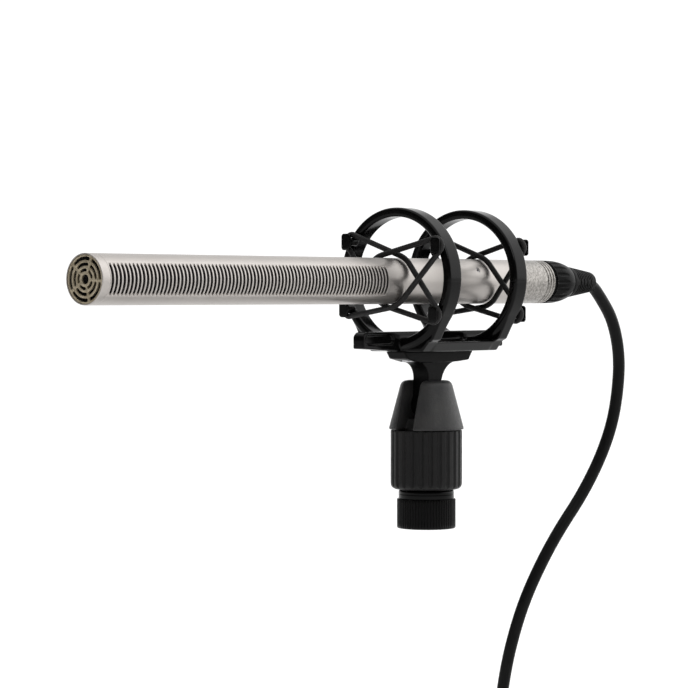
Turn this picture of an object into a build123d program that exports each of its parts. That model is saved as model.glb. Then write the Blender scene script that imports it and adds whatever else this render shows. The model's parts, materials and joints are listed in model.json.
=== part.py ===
"""Interference-tube microphone in an elastic shock mount, on a tilting stand swivel, with its lead.

Millimetres, +Z up. The origin is the mouth of the stand thread. The microphone lies along Y and points
towards -Y; the swivel, its locking collar and the stand adapter share the Z axis.
"""
import os
from math import asin, atan2, cos, degrees, hypot, pi, radians, sin, sqrt, tan

from build123d import *

os.makedirs("parts", exist_ok=True)

# ---------------------------------------------------------------- driving dimensions
# Microphone
MIC_R = 9.5
MIC_LENGTH = 255.0
MIC_FRONT_Y = -198.2
MIC_Z = 103.1
TUBE_WALL = 0.6
RIM_LENGTH = 4.0
SLOT_COUNT = 79
SLOT_PITCH = 2.0
SLOT_WIDTH = 1.2
SLOT_FIRST = 5.2
SLOT_FLAT_X = 7.29
SOCKET_R = 8.05
SOCKET_DEPTH = 18.0

# Shock mount
RING_R = 29.0
RING_DEPTH = 3.8
RING_WIDTH = 8.5
RING_Z = 104.4
FRONT_RING_Y = -21.4
REAR_RING_Y = 23.5
SPLIT_Z = 103.0
HULL_TOP = 78.0
HULL_BOTTOM = 74.0
BEAM_TOP = 82.3
BEAM_HALF = 2.75
BEAM_ENDS_Y = (-44.5, 49.5)
HOOK_ANGLE_A = 35.0
HOOK_ANGLE_B = 29.5
HOOK_R = 26.2
HOOK_NECK = 3.1
HOOK_HEAD = 0.9
HOOK_NECK_R = 1.8
LOOP_R = 1.2
LOOP_GAP = 0.35
LOOP_AT_HOOK = 1.3
LOOPS_AT_TUBE = (0.55, 4.8)

# Swivel and stand adapter
PIVOT_Z = 51.5
FOOT_HALF = 4.0
FLANGE_HALF = 5.0
SLOT_HALF = 4.4
HEAD_BOTTOM = 41.2
HEAD_TOP = 61.8
HEAD_BASE_R = 15.65
HEAD_TOP_R = 10.3
STEM_R = 9.0
COLLAR_R = 14.9
COLLAR_BOTTOM = 16.3
COLLAR_TOP = 40.9
COLLAR_FLUTES = 24
NUT_R = 12.0
ADAPTER_R = 12.25
ADAPTER_HEIGHT = 12.25
NECK_R = 11.6
THREAD_R = 7.45
THREAD_DEPTH = 13.5
KNURL_TEETH = 62

# Lead
CORD_R = 2.75
GROUND_Z = -165.0
COIL_X = -10.0
COIL_Y = 72.0
COIL_R = 33.0
COIL_COLUMNS = 3
COIL_LAYERS = 4
FAR_PLUG_X = 45.0
FAR_PLUG_Y = 64.0
PLUG_R = 9.45

# ---------------------------------------------------------------- frames
mic_frame = Plane(origin=(0, MIC_FRONT_Y, MIC_Z), x_dir=(0, 1, 0), z_dir=(1, 0, 0))
far_frame = Plane(origin=(FAR_PLUG_X, FAR_PLUG_Y, GROUND_Z + PLUG_R + 0.05), x_dir=(0, 1, 0), z_dir=(1, 0, 0))
stand_frame = Plane(origin=(0, 0, 0), x_dir=(0, 0, 1), z_dir=(0, 1, 0))


def facing_front(y, z):
    """A plane across the microphone at y, X to the right, Z up and its normal towards the front."""
    return Plane(origin=(0, y, z), x_dir=(1, 0, 0), z_dir=(0, -1, 0))


def write(part, label):
    """Labels a finished piece and writes its file."""
    part.label = label
    export_step(part, f"parts/{label}.step")


def turned(label, frame, outline):
    """A turned piece: outline points are (distance along the frame's x, radius)."""
    with BuildPart() as piece:
        with BuildSketch(frame):
            with BuildLine():
                Polyline(*outline, close=True)
            make_face()
        revolve(axis=Axis(frame.origin, frame.x_dir))
    write(piece.part, label)
    return piece.part


# ---------------------------------------------------------------- microphone
bore_r = MIC_R - TUBE_WALL
nose_r = bore_r - TUBE_WALL
nose_start = 1.75
socket_start = MIC_LENGTH - SOCKET_DEPTH
screw_at = 223.2
screw_angle = 31.0
screw_r = 1.0

tube_outline = [
    (nose_start, nose_r),
    (RIM_LENGTH + 0.5, nose_r),
    (RIM_LENGTH + 0.5, bore_r),
    (socket_start, bore_r),
    (socket_start, SOCKET_R),
    (MIC_LENGTH, SOCKET_R),
    (MIC_LENGTH, MIC_R - 0.3),
    (MIC_LENGTH - 0.3, MIC_R),
    (RIM_LENGTH, MIC_R),
    (RIM_LENGTH, bore_r),
    (nose_start, bore_r),
]
screw_frame = Plane(
    origin=(
        MIC_R * cos(radians(screw_angle)),
        MIC_FRONT_Y + screw_at,
        MIC_Z + MIC_R * sin(radians(screw_angle)),
    ),
    x_dir=(0, 1, 0),
    z_dir=(cos(radians(screw_angle)), 0, sin(radians(screw_angle))),
)
slots_middle = SLOT_FIRST + SLOT_PITCH * (SLOT_COUNT - 1) / 2
with BuildPart() as mic_tube:
    with BuildSketch(mic_frame):
        with BuildLine():
            Polyline(*tube_outline, close=True)
        make_face()
    revolve(axis=Axis(mic_frame.origin, mic_frame.x_dir))
    for side in (1, -1):
        with BuildSketch(mic_frame.offset(side * SLOT_FLAT_X)):
            with Locations((slots_middle, 0)):
                with GridLocations(SLOT_PITCH, 1, SLOT_COUNT, 1):
                    Rectangle(SLOT_WIDTH, 1.5 * MIC_R)
        extrude(amount=side * 3, mode=Mode.SUBTRACT)
    with BuildSketch(screw_frame.offset(1)):
        Circle(screw_r)
    extrude(amount=-2.6, mode=Mode.SUBTRACT)
mic_tube.part.label = "mic_tube"
export_step(mic_tube.part, "parts/mic_tube.step")

grille_r = 9.0
grille_thickness = 0.9
lip = 0.3
turned(
    "front_rim",
    mic_frame,
    [
        (0, grille_r + 0.05),
        (lip + grille_thickness, grille_r + 0.05),
        (lip + grille_thickness, bore_r + 0.02),
        (RIM_LENGTH, bore_r + 0.02),
        (RIM_LENGTH, MIC_R),
        (0.35, MIC_R),
        (0, MIC_R - 0.35),
    ],
)

# End grille: a hub hole and three rows of arc slots between five spokes.
spoke_width = 0.85
spokes = 5
first_spoke = -4.0
slot_rows = [(2.85, 3.95), (4.85, 6.05), (6.95, 8.25)]
slot_arcs = []
for inner, outer in slot_rows:
    row_r = (inner + outer) / 2
    half_gap = degrees(asin((spoke_width + outer - inner) / 2 / row_r))
    for spoke in range(spokes):
        start = first_spoke + spoke * 360 / spokes + half_gap
        slot_arcs.append((CenterArc((0, 0), row_r, start, 360 / spokes - 2 * half_gap), outer - inner))
with BuildPart() as front_grille:
    with BuildSketch(facing_front(MIC_FRONT_Y + lip + grille_thickness, MIC_Z)):
        Circle(grille_r)
        Circle(1.8, mode=Mode.SUBTRACT)
        for slot_arc, slot_width in slot_arcs:
            SlotArc(arc=slot_arc, height=slot_width, mode=Mode.SUBTRACT)
    extrude(amount=grille_thickness)
front_grille.part.label = "front_grille"
export_step(front_grille.part, "parts/front_grille.step")

with BuildPart() as grille_mesh:
    with BuildSketch(facing_front(MIC_FRONT_Y + nose_start, MIC_Z)):
        Circle(bore_r - 0.1)
    extrude(amount=nose_start - lip - grille_thickness)
grille_mesh.part.label = "grille_mesh"
export_step(grille_mesh.part, "parts/grille_mesh.step")

liner_end = SLOT_FIRST + SLOT_PITCH * SLOT_COUNT
turned("slot_liner", mic_frame, [(2.0, 7.9), (liner_end, 7.9), (liner_end, 8.2), (2.0, 8.2)])

capsule_start = liner_end + 1.0
capsule_end = capsule_start + 7.0
turned("capsule", mic_frame, [(capsule_start, 0), (capsule_end, 0), (capsule_end, 8.0), (capsule_start, 8.0)])
turned(
    "capsule_ring",
    mic_frame,
    [
        (capsule_start - 0.6, 7.2),
        (capsule_start, 7.2),
        (capsule_start, 8.0),
        (capsule_end, 8.0),
        (capsule_end, 8.85),
        (capsule_start - 0.6, 8.85),
    ],
)

insert_start = socket_start - 16.0
carrier_length = 2.5
board_thickness = 1.6
with BuildPart() as board_carriers:
    for start in (capsule_end + 0.3, insert_start - 0.3 - carrier_length):
        with BuildSketch(facing_front(MIC_FRONT_Y + start + carrier_length, MIC_Z)):
            Circle(bore_r - 0.1)
        extrude(amount=carrier_length)
board_carriers.part.label = "board_carriers"
export_step(board_carriers.part, "parts/board_carriers.step")

board_start = capsule_end + 0.3 + carrier_length
board_end = insert_start - 0.3 - carrier_length
with BuildPart() as circuit_board:
    with BuildSketch(mic_frame):
        with Locations(((board_start + board_end) / 2, 0)):
            Rectangle(board_end - board_start, 15.0)
    extrude(amount=board_thickness / 2, both=True)
    with BuildSketch(mic_frame.offset(board_thickness / 2)):
        with Locations(((board_start + board_end) / 2, 0)):
            with GridLocations(9, 6, 4, 2):
                Rectangle(4, 3)
    extrude(amount=2.2)
circuit_board.part.label = "circuit_board"
export_step(circuit_board.part, "parts/circuit_board.step")

pin_circle_r = 3.9
pin_r = 1.2
pin_angles = (90, 210, 330)
pin_sunk = 3.0
pin_reach = 11.0


def pin_points(circle_r):
    """The three contact places round the connector's axis."""
    return [(circle_r * cos(radians(a)), circle_r * sin(radians(a))) for a in pin_angles]


with BuildPart() as xlr_insert:
    with BuildSketch(facing_front(MIC_FRONT_Y + socket_start, MIC_Z)):
        Circle(bore_r - 0.05)
    extrude(amount=socket_start - insert_start)
    with BuildSketch(facing_front(MIC_FRONT_Y + socket_start, MIC_Z)):
        with Locations(*pin_points(pin_circle_r)):
            Circle(pin_r)
    extrude(amount=pin_sunk, mode=Mode.SUBTRACT)
    with BuildSketch(screw_frame):
        Circle(screw_r)
    extrude(amount=-3.2, mode=Mode.SUBTRACT)
xlr_insert.part.label = "xlr_insert"
export_step(xlr_insert.part, "parts/xlr_insert.step")

with BuildPart() as xlr_pins:
    with BuildSketch(facing_front(MIC_FRONT_Y + socket_start + pin_reach, MIC_Z)):
        with Locations(*pin_points(pin_circle_r)):
            Circle(pin_r)
    extrude(amount=pin_reach + pin_sunk)
xlr_pins.part.label = "xlr_pins"
export_step(xlr_pins.part, "parts/xlr_pins.step")

with BuildPart() as set_screw:
    with BuildSketch(screw_frame.offset(-0.4)):
        Circle(screw_r)
    extrude(amount=-2.6)
    with BuildSketch(screw_frame.offset(-0.4)):
        RegularPolygon(radius=0.55, side_count=6)
    extrude(amount=-1.2, mode=Mode.SUBTRACT)
set_screw.part.label = "set_screw"
export_step(set_screw.part, "parts/set_screw.step")

# ---------------------------------------------------------------- socket plug on the microphone's tail
barrel_start = socket_start + 0.4
shell_start = MIC_LENGTH + 0.1
shell_end = 277.4
collar_end = 295.6
relief_start = 296.2
relief_end = 316.2
barrel_r = 8.0
shell_bore_r = 7.4
latch_start = 258.0
latch_length = 6.0
latch_half = 1.8
latch_travel = 0.8

groove_depth = 0.25
groove_width = 0.8
shell_outline = [(barrel_start, shell_bore_r), (barrel_start, barrel_r), (shell_start, barrel_r)]
shell_outline += [(shell_start, PLUG_R - 0.2), (shell_start + 0.2, PLUG_R)]
for groove in range(3):
    at = shell_end - 5.6 + 1.9 * groove
    shell_outline += [
        (at, PLUG_R),
        (at, PLUG_R - groove_depth),
        (at + groove_width, PLUG_R - groove_depth),
        (at + groove_width, PLUG_R),
    ]
shell_outline += [(shell_end, PLUG_R), (shell_end, shell_bore_r)]
with BuildPart() as plug_shell:
    with BuildSketch(mic_frame):
        with BuildLine():
            Polyline(*shell_outline, close=True)
        make_face()
    revolve(axis=Axis(mic_frame.origin, mic_frame.x_dir))
    with BuildSketch(mic_frame.offset(-shell_bore_r + 0.6)):
        with Locations((latch_start + latch_length / 2, 0)):
            Rectangle(latch_length + 0.2, 2 * latch_half + 0.2)
    extrude(amount=-6, mode=Mode.SUBTRACT)
plug_shell.part.label = "plug_shell"
export_step(plug_shell.part, "parts/plug_shell.step")

latch_inner = -shell_bore_r - latch_travel
with BuildPart() as plug_latch:
    with BuildSketch(mic_frame.offset(latch_inner)):
        with Locations((latch_start + latch_length / 2, 0)):
            Rectangle(latch_length, 2 * latch_half)
    extrude(amount=-1.9)
    fillet(plug_latch.faces().sort_by(Axis.X)[0].edges(), 0.5)
plug_latch.part.label = "plug_latch"
export_step(plug_latch.part, "parts/plug_latch.step")

contact_r = 1.6
contact_end = 252.0
plug_insert_end = 262.0
with BuildPart() as plug_insert:
    with BuildSketch(facing_front(MIC_FRONT_Y + plug_insert_end, MIC_Z)):
        Circle(shell_bore_r - 0.1)
    extrude(amount=plug_insert_end - barrel_start - 0.2)
    with BuildSketch(facing_front(MIC_FRONT_Y + contact_end, MIC_Z)):
        with Locations(*pin_points(pin_circle_r)):
            Circle(contact_r)
    extrude(amount=20, mode=Mode.SUBTRACT)
plug_insert.part.label = "plug_insert"
export_step(plug_insert.part, "parts/plug_insert.step")

with BuildPart() as plug_contacts:
    with BuildSketch(facing_front(MIC_FRONT_Y + contact_end, MIC_Z)):
        with Locations(*pin_points(pin_circle_r)):
            Circle(contact_r)
            Circle(pin_r + 0.05, mode=Mode.SUBTRACT)
    extrude(amount=12.5)
plug_contacts.part.label = "plug_contacts"
export_step(plug_contacts.part, "parts/plug_contacts.step")

spigot_r = shell_bore_r - 0.05
spigot_bore_r = 6.5


def boot_collar(label, frame, start, direction):
    """A fluted screw collar: starts at the shell, rounds in towards the cable; direction is +1 or -1."""
    length = collar_end - shell_end - 0.1
    outline = [
        (-7.0, spigot_bore_r),
        (-7.0, spigot_r),
        (0, spigot_r),
        (0, PLUG_R - 0.2),
        (0.5, PLUG_R),
        (0.52 * length, PLUG_R - 0.15),
        (0.75 * length, PLUG_R - 0.75),
        (0.93 * length, PLUG_R - 1.6),
        (length, PLUG_R - 2.1),
        (length, spigot_bore_r - 0.2),
    ]
    placed = [(start + direction * s, r) for s, r in outline]
    with BuildPart() as collar:
        with BuildSketch(frame):
            with BuildLine():
                Polyline(*placed, close=True)
            make_face()
        revolve(axis=Axis(frame.origin, frame.x_dir))
        ends = sorted((start + direction * 2.2, start + direction * 0.8 * length))
        flute_plane = Plane(origin=frame.from_local_coords((ends[0], 0, 0)), z_dir=frame.x_dir)
        with BuildSketch(flute_plane):
            with PolarLocations(PLUG_R + 0.75, 18):
                Circle(1.3)
        extrude(amount=ends[1] - ends[0], mode=Mode.SUBTRACT)
    write(collar.part, label)


def strain_relief(label, frame, start, direction, bore_r_at_cable):
    """A tapered ribbed sleeve that grips the cable; direction is +1 or -1 along the frame."""
    length = relief_end - relief_start
    thick_r = 7.1
    thin_r = 4.5
    outline = [(-12.0, bore_r_at_cable), (-12.0, 6.2), (-0.4, 6.2), (-0.4, thick_r - 0.4), (0, thick_r)]
    ribs = 8
    rib_start = 3.0
    rib_pitch = 1.6
    for rib in range(ribs):
        at = rib_start + rib * rib_pitch
        for s, sunk in ((at, 0), (at + 0.2, 0.3), (at + 0.7, 0.3), (at + 0.9, 0)):
            outline.append((s, thick_r + (thin_r - thick_r) * s / length - sunk))
    outline += [(length - 2.0, thin_r + 0.26), (length - 0.5, thin_r + 0.02), (length, thin_r - 0.45)]
    outline += [(length, bore_r_at_cable + 0.85), (length - 4.5, bore_r_at_cable)]
    return turned(label, frame, [(start + direction * s, r) for s, r in outline])


turned("cable_chuck", mic_frame, [(263, 2.8), (263, 6.4), (277, 6.4), (281, 4.6), (281, 2.8)])
boot_collar("boot_collar", mic_frame, shell_end + 0.1, 1)
strain_relief("strain_relief", mic_frame, relief_start, 1, CORD_R + 0.05)

# ---------------------------------------------------------------- shock mount
def ring_solid(y):
    """A whole ring with rounded edges, its front face at y."""
    inner = RING_R - RING_DEPTH
    c = 0.7
    outline = [
        (c, inner),
        (RING_WIDTH - c, inner),
        (RING_WIDTH, inner + c),
        (RING_WIDTH, RING_R - c),
        (RING_WIDTH - c, RING_R),
        (c, RING_R),
        (0, RING_R - c),
        (0, inner + c),
    ]
    with BuildPart() as ring:
        with BuildSketch(Plane(origin=(0, y, RING_Z), x_dir=(0, 1, 0), z_dir=(1, 0, 0))):
            with BuildLine():
                Polyline(*outline, close=True)
            make_face()
        revolve(axis=Axis((0, 0, RING_Z), (0, 1, 0)))
    return ring.part


def hook_face(y, towards):
    """The ring face that carries the hooks."""
    return y + RING_WIDTH if towards > 0 else y


def hook_pair(face_y, towards, up):
    """Two cord hooks standing out of a ring's face: towards is their Y direction, up is +1 or -1."""
    with BuildPart() as pair:
        right_angle, left_angle = (HOOK_ANGLE_B, HOOK_ANGLE_A) if up > 0 else (HOOK_ANGLE_A, HOOK_ANGLE_B)
        for first in (right_angle, 180 - left_angle):
            angle = radians(up * first)
            centre = (HOOK_R * cos(angle), RING_Z + HOOK_R * sin(angle))
            root = Plane(origin=(centre[0], face_y - towards * 0.8, centre[1]), x_dir=(1, 0, 0), z_dir=(0, towards, 0))
            outward = 1.5 if cos(angle) > 0 else -1.5
            with BuildSketch(root):
                Circle(HOOK_NECK_R)
            extrude(amount=HOOK_NECK + 1.0)
            with BuildSketch(root.offset(HOOK_NECK + 0.8)):
                with Locations((outward, 0)):
                    RectangleRounded(4.6, 7.0, 1.2)
            extrude(amount=HOOK_HEAD)
    return pair.part


rings = {"front": (FRONT_RING_Y, -1), "rear": (REAR_RING_Y, 1)}
ring_solids = [ring_solid(ring_y) for ring_y, towards in rings.values()]
lower_hooks = [hook_pair(hook_face(ring_y, towards), towards, -1) for ring_y, towards in rings.values()]

for ring, (ring_y, towards) in rings.items():
    whole_ring = ring_solid(ring_y)
    upper_hooks = hook_pair(hook_face(ring_y, towards), towards, 1)
    with BuildPart() as arch:
        add(whole_ring)
        split(bisect_by=Plane.XY.offset(SPLIT_Z), keep=Keep.TOP)
        add(upper_hooks)
    write(arch.part, f"{ring}_arch")

flare_top = -25.0
flare = [
    (RING_R * cos(radians(flare_top)), RING_R * sin(radians(flare_top))),
    (19.0, -25.4),
    (17.0, HULL_TOP - RING_Z),
    (13.6, HULL_BOTTOM - RING_Z),
]
flare_loop = flare + [(-x, z) for x, z in reversed(flare)]
beam_low, beam_high = BEAM_ENDS_Y
beam_rise = 1.5
beam_outline = [
    (beam_low, HULL_BOTTOM + beam_rise),
    (FRONT_RING_Y, HULL_BOTTOM),
    (REAR_RING_Y + RING_WIDTH, HULL_BOTTOM),
    (beam_high, HULL_BOTTOM + beam_rise),
    (beam_high, BEAM_TOP),
    (beam_low, BEAM_TOP),
]
beam_end_r = 3.0
pocket_depth = 1.1
pockets = [
    (beam_low + 1.6, FRONT_RING_Y - 3.2, HULL_BOTTOM + 2.9, BEAM_TOP - 1.3),
    (FRONT_RING_Y + RING_WIDTH + 3, REAR_RING_Y - 2, HULL_TOP + 0.6, BEAM_TOP - 1.2),
    (REAR_RING_Y + RING_WIDTH + 2, beam_high - 1.6, HULL_BOTTOM + 2.9, BEAM_TOP - 1.3),
]
foot_screw_y = (-12.0, 17.0)
foot_screw_r = 1.25
with BuildPart() as cradle_base:
    add(ring_solids)
    for ring_y, towards in rings.values():
        rear_face = facing_front(ring_y + RING_WIDTH - 1.2, RING_Z)
        with BuildSketch(rear_face):
            with BuildLine():
                Polyline(*flare_loop, close=True)
            make_face()
            Circle(RING_R - RING_DEPTH / 2, mode=Mode.SUBTRACT)
        extrude(amount=RING_WIDTH - 2.4)
    split(bisect_by=Plane.XY.offset(SPLIT_Z), keep=Keep.BOTTOM)
    hull_length = REAR_RING_Y + RING_WIDTH - FRONT_RING_Y - 4
    with BuildSketch(Plane.XY.offset(HULL_TOP)):
        with Locations((0, (REAR_RING_Y + RING_WIDTH + FRONT_RING_Y) / 2)):
            RectangleRounded(34, hull_length, 6)
    extrude(amount=HULL_BOTTOM - HULL_TOP, taper=38)
    with BuildSketch(Plane.YZ):
        with BuildLine():
            Polyline(*beam_outline, close=True)
        beam_face = make_face()
        beam_tips = beam_face.vertices().group_by(Axis.Y)
        fillet(beam_tips[0] + beam_tips[-1], beam_end_r)
    extrude(amount=BEAM_HALF, both=True)
    add(lower_hooks)
    for y_low, y_high, z_low, z_high in pockets:
        for side in (1, -1):
            with BuildSketch(Plane.YZ.offset(side * (BEAM_HALF - pocket_depth))):
                with Locations(((y_low + y_high) / 2, (z_low + z_high) / 2)):
                    SlotOverall(y_high - y_low, z_high - z_low)
            extrude(amount=side * 5, mode=Mode.SUBTRACT)
    with BuildSketch(Plane.XY.offset(HULL_BOTTOM)):
        with Locations(*[(0, y) for y in foot_screw_y]):
            Circle(foot_screw_r)
    extrude(amount=5.5, mode=Mode.SUBTRACT)
cradle_base.part.label = "cradle_base"
export_step(cradle_base.part, "parts/cradle_base.step")


# Elastic loops: each is a round rubber cord that runs round two opposite hooks with the tube inside.
def tangent_normal(centre_a, r_a, centre_b, r_b):
    """The shared outward normal of the outer tangent that runs from circle a to circle b, leftwards."""
    du = centre_b[0] - centre_a[0]
    dv = centre_b[1] - centre_a[1]
    span = hypot(du, dv)
    along = (r_a - r_b) / span
    across = sqrt(1 - along * along)
    return (
        along * du / span + across * dv / span,
        along * dv / span - across * du / span,
    )


def meeting(line_1, line_2):
    """Where two lines cross, each given as (normal, distance from the origin)."""
    (a, b), p = line_1
    (c, d), q = line_2
    area = a * d - b * c
    return ((p * d - b * q) / area, (a * q - p * c) / area)


def tangent_line(centre_a, r_a, centre_b, r_b):
    """The outer tangent from circle a to circle b as (normal, distance from the origin)."""
    normal = tangent_normal(centre_a, r_a, centre_b, r_b)
    return normal, normal[0] * centre_a[0] + normal[1] * centre_a[1] + r_a


def elastic_loop(label, ring_y, towards, at_tube, side):
    """One loop round two opposite hooks and the tube; at_tube is how far it stands off the ring's face there."""
    face_y = hook_face(ring_y, towards)
    hook_angle = radians(HOOK_ANGLE_A if side > 0 else HOOK_ANGLE_B)
    diagonal = Vector(side * -cos(hook_angle), 0, sin(hook_angle))
    square = Vector(0, 1, 0).cross(diagonal)
    wrap_r = HOOK_NECK_R + 0.05 + LOOP_R
    bend_r = wrap_r - 0.25
    tube_r = MIC_R + LOOP_GAP + LOOP_R
    drop = Vector(0, 0, MIC_Z - RING_Z)
    tube = (drop.dot(diagonal), drop.dot(square))
    first = (HOOK_R, 0)
    last = (-HOOK_R, 0)
    strands = [
        tangent_line(first, wrap_r, tube, tube_r),
        tangent_line(tube, tube_r, last, wrap_r),
        tangent_line(last, wrap_r, tube, tube_r),
        tangent_line(tube, tube_r, first, wrap_r),
    ]
    last_end = ((-1, 0), HOOK_R + wrap_r)
    first_end = ((1, 0), HOOK_R + wrap_r)
    corners = [
        (meeting(strands[0], strands[1]), at_tube, tube_r),
        (meeting(strands[1], last_end), LOOP_AT_HOOK, bend_r),
        (meeting(strands[2], last_end), LOOP_AT_HOOK, bend_r),
        (meeting(strands[2], strands[3]), at_tube, tube_r),
        (meeting(strands[3], first_end), LOOP_AT_HOOK, bend_r),
        (meeting(strands[0], first_end), LOOP_AT_HOOK, bend_r),
    ]
    points = []
    for (u, v), off, r in corners:
        points.append(diagonal * u + square * v + Vector(0, face_y + towards * off, RING_Z))
    radii = [r for place, off, r in corners]
    joins = [(points[5] + points[0]) / 2, (points[2] + points[3]) / 2]
    with BuildPart() as loop:
        for half in (0, 1):
            bends = slice(3 * half, 3 * half + 3)
            with BuildLine() as route:
                FilletPolyline(joins[half], *points[bends], joins[1 - half], radius=radii[bends])
            with BuildSketch(Plane(origin=route.line @ 0, z_dir=route.line % 0)):
                Circle(LOOP_R)
            sweep(path=route.line)
    write(loop.part, label)


for ring, (ring_y, towards) in rings.items():
    elastic_loop(f"{ring}_loop_a", ring_y, towards, LOOPS_AT_TUBE[0], 1)
    elastic_loop(f"{ring}_loop_b", ring_y, towards, LOOPS_AT_TUBE[1], -1)

# ---------------------------------------------------------------- foot and swivel
foot_top = HULL_BOTTOM
flange_bottom = 69.4
tongue_r = 5.4
neck_low, neck_high = (-3.9, 5.0)
front_arc_r = 6.6
rear_arc_r = 10.4
flange_front = [(-20.7, foot_top), (-18.4, 71.0), (neck_low - front_arc_r, flange_bottom)]
flange_rear = [(neck_high + rear_arc_r, flange_bottom), (22.6, 70.0), (25.6, foot_top)]
with BuildPart() as foot:
    with BuildSketch(Plane.YZ):
        with BuildLine():
            Polyline(*flange_front)
            RadiusArc(flange_front[-1], (neck_low, flange_bottom - front_arc_r), front_arc_r)
            Line((neck_low, flange_bottom - front_arc_r), (neck_low, PIVOT_Z))
            Line((neck_low, PIVOT_Z), (neck_high, PIVOT_Z))
            Line((neck_high, PIVOT_Z), (neck_high, flange_bottom - rear_arc_r))
            RadiusArc((neck_high, flange_bottom - rear_arc_r), flange_rear[0], rear_arc_r)
            Polyline(*flange_rear)
            Line(flange_rear[-1], flange_front[0])
        make_face()
        with Locations((0, PIVOT_Z)):
            Circle(tongue_r)
    extrude(amount=FOOT_HALF, both=True)
    with BuildSketch(Plane.YZ):
        with BuildLine():
            Polyline(*flange_front, *flange_rear, close=True)
        make_face()
    extrude(amount=FLANGE_HALF, both=True)
    with BuildSketch(Plane.YZ):
        with Locations((0, PIVOT_Z)):
            Circle(2.03)
    extrude(amount=10, both=True, mode=Mode.SUBTRACT)
    with BuildSketch(Plane.XY.offset(flange_bottom)):
        with Locations(*[(0, y) for y in foot_screw_y]):
            Circle(foot_screw_r + 0.2)
    extrude(amount=6, mode=Mode.SUBTRACT)
    with BuildSketch(Plane.XY.offset(flange_bottom)):
        with Locations(*[(0, y) for y in foot_screw_y]):
            Circle(2.75)
    extrude(amount=2.2, mode=Mode.SUBTRACT)
foot.part.label = "foot"
export_step(foot.part, "parts/foot.step")

with BuildPart() as foot_screws:
    with BuildSketch(Plane.XY.offset(flange_bottom + 2.2)):
        with Locations(*[(0, y) for y in foot_screw_y]):
            Circle(foot_screw_r)
    extrude(amount=7.8)
    with BuildSketch(Plane.XY.offset(flange_bottom + 0.2)):
        with Locations(*[(0, y) for y in foot_screw_y]):
            Circle(2.6)
    extrude(amount=2.0)
    with BuildSketch(Plane.XY.offset(flange_bottom + 0.2)):
        with Locations(*[(0, y) for y in foot_screw_y]):
            RegularPolygon(radius=1.2, side_count=6)
    extrude(amount=1.3, mode=Mode.SUBTRACT)
foot_screws.part.label = "foot_screws"
export_step(foot_screws.part, "parts/foot_screws.step")

pin_half = 10.6
with BuildPart() as pivot_pin:
    with BuildSketch(Plane.YZ):
        with Locations((0, PIVOT_Z)):
            Circle(2.0)
    extrude(amount=pin_half, both=True)
pivot_pin.part.label = "pivot_pin"
export_step(pivot_pin.part, "parts/pivot_pin.step")

stem_bottom = 16.0
spigot_bottom = 14.2
plunger_r = 3.9
plunger_bore_r = 4.0
plunger_bottom = 23.0
clamp_pin_z = 29.5
clamp_pin_r = 1.2
clamp_drop = 0.6
head_outline = [
    (spigot_bottom, 0),
    (spigot_bottom, 5.0),
    (stem_bottom, 5.0),
    (stem_bottom, STEM_R),
    (HEAD_BOTTOM, STEM_R),
    (HEAD_BOTTOM, HEAD_BASE_R),
    (HEAD_BOTTOM + 0.6, HEAD_BASE_R),
    (HEAD_TOP - 2.0, HEAD_TOP_R + 0.6),
    (HEAD_TOP - 1.0, HEAD_TOP_R + 0.1),
    (HEAD_TOP - 0.3, HEAD_TOP_R - 0.8),
    (HEAD_TOP, HEAD_TOP_R - 2.2),
    (HEAD_TOP, 0),
]
with BuildPart() as swivel_head:
    with BuildSketch(stand_frame):
        with BuildLine():
            Polyline(*head_outline, close=True)
        make_face()
    revolve(axis=Axis.Z)
    with BuildSketch(Plane.YZ):
        with BuildLine():
            Polyline(
                (-20, HEAD_BOTTOM - 0.5),
                (-9.05, HEAD_BOTTOM - 0.5),
                (-6.4, PIVOT_Z - tongue_r - 0.4),
                (6.6, PIVOT_Z - tongue_r - 0.4),
                (8.6, 55.0),
                (20, 56.4),
                (20, 70),
                (-20, 70),
                close=True,
            )
        make_face()
    extrude(amount=SLOT_HALF, both=True, mode=Mode.SUBTRACT)
    with BuildSketch(Plane.YZ):
        with Locations((0, PIVOT_Z)):
            Circle(2.0)
    extrude(amount=pin_half, both=True, mode=Mode.SUBTRACT)
    with BuildSketch(Plane.XY.offset(plunger_bottom - 1.5)):
        Circle(plunger_bore_r)
    extrude(amount=30, mode=Mode.SUBTRACT)
    with BuildSketch(Plane.YZ):
        with Locations((0, clamp_pin_z - clamp_drop / 2)):
            Rectangle(2 * clamp_pin_r + 0.1, 2 * clamp_pin_r + clamp_drop + 0.2)
    extrude(amount=STEM_R + 1, both=True, mode=Mode.SUBTRACT)
swivel_head.part.label = "swivel_head"
export_step(swivel_head.part, "parts/swivel_head.step")

with BuildPart() as clamp_plunger:
    with BuildSketch(Plane.XY.offset(plunger_bottom)):
        Circle(plunger_r)
    extrude(amount=PIVOT_Z - tongue_r - 0.1 - plunger_bottom)
    with BuildSketch(Plane.YZ):
        with Locations((0, clamp_pin_z)):
            Circle(clamp_pin_r)
    extrude(amount=10, both=True, mode=Mode.SUBTRACT)
clamp_plunger.part.label = "clamp_plunger"
export_step(clamp_plunger.part, "parts/clamp_plunger.step")

with BuildPart() as clamp_pin:
    with BuildSketch(Plane.YZ):
        with Locations((0, clamp_pin_z)):
            Circle(clamp_pin_r)
    extrude(amount=10.2, both=True)
clamp_pin.part.label = "clamp_pin"
export_step(clamp_pin.part, "parts/clamp_pin.step")

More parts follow.
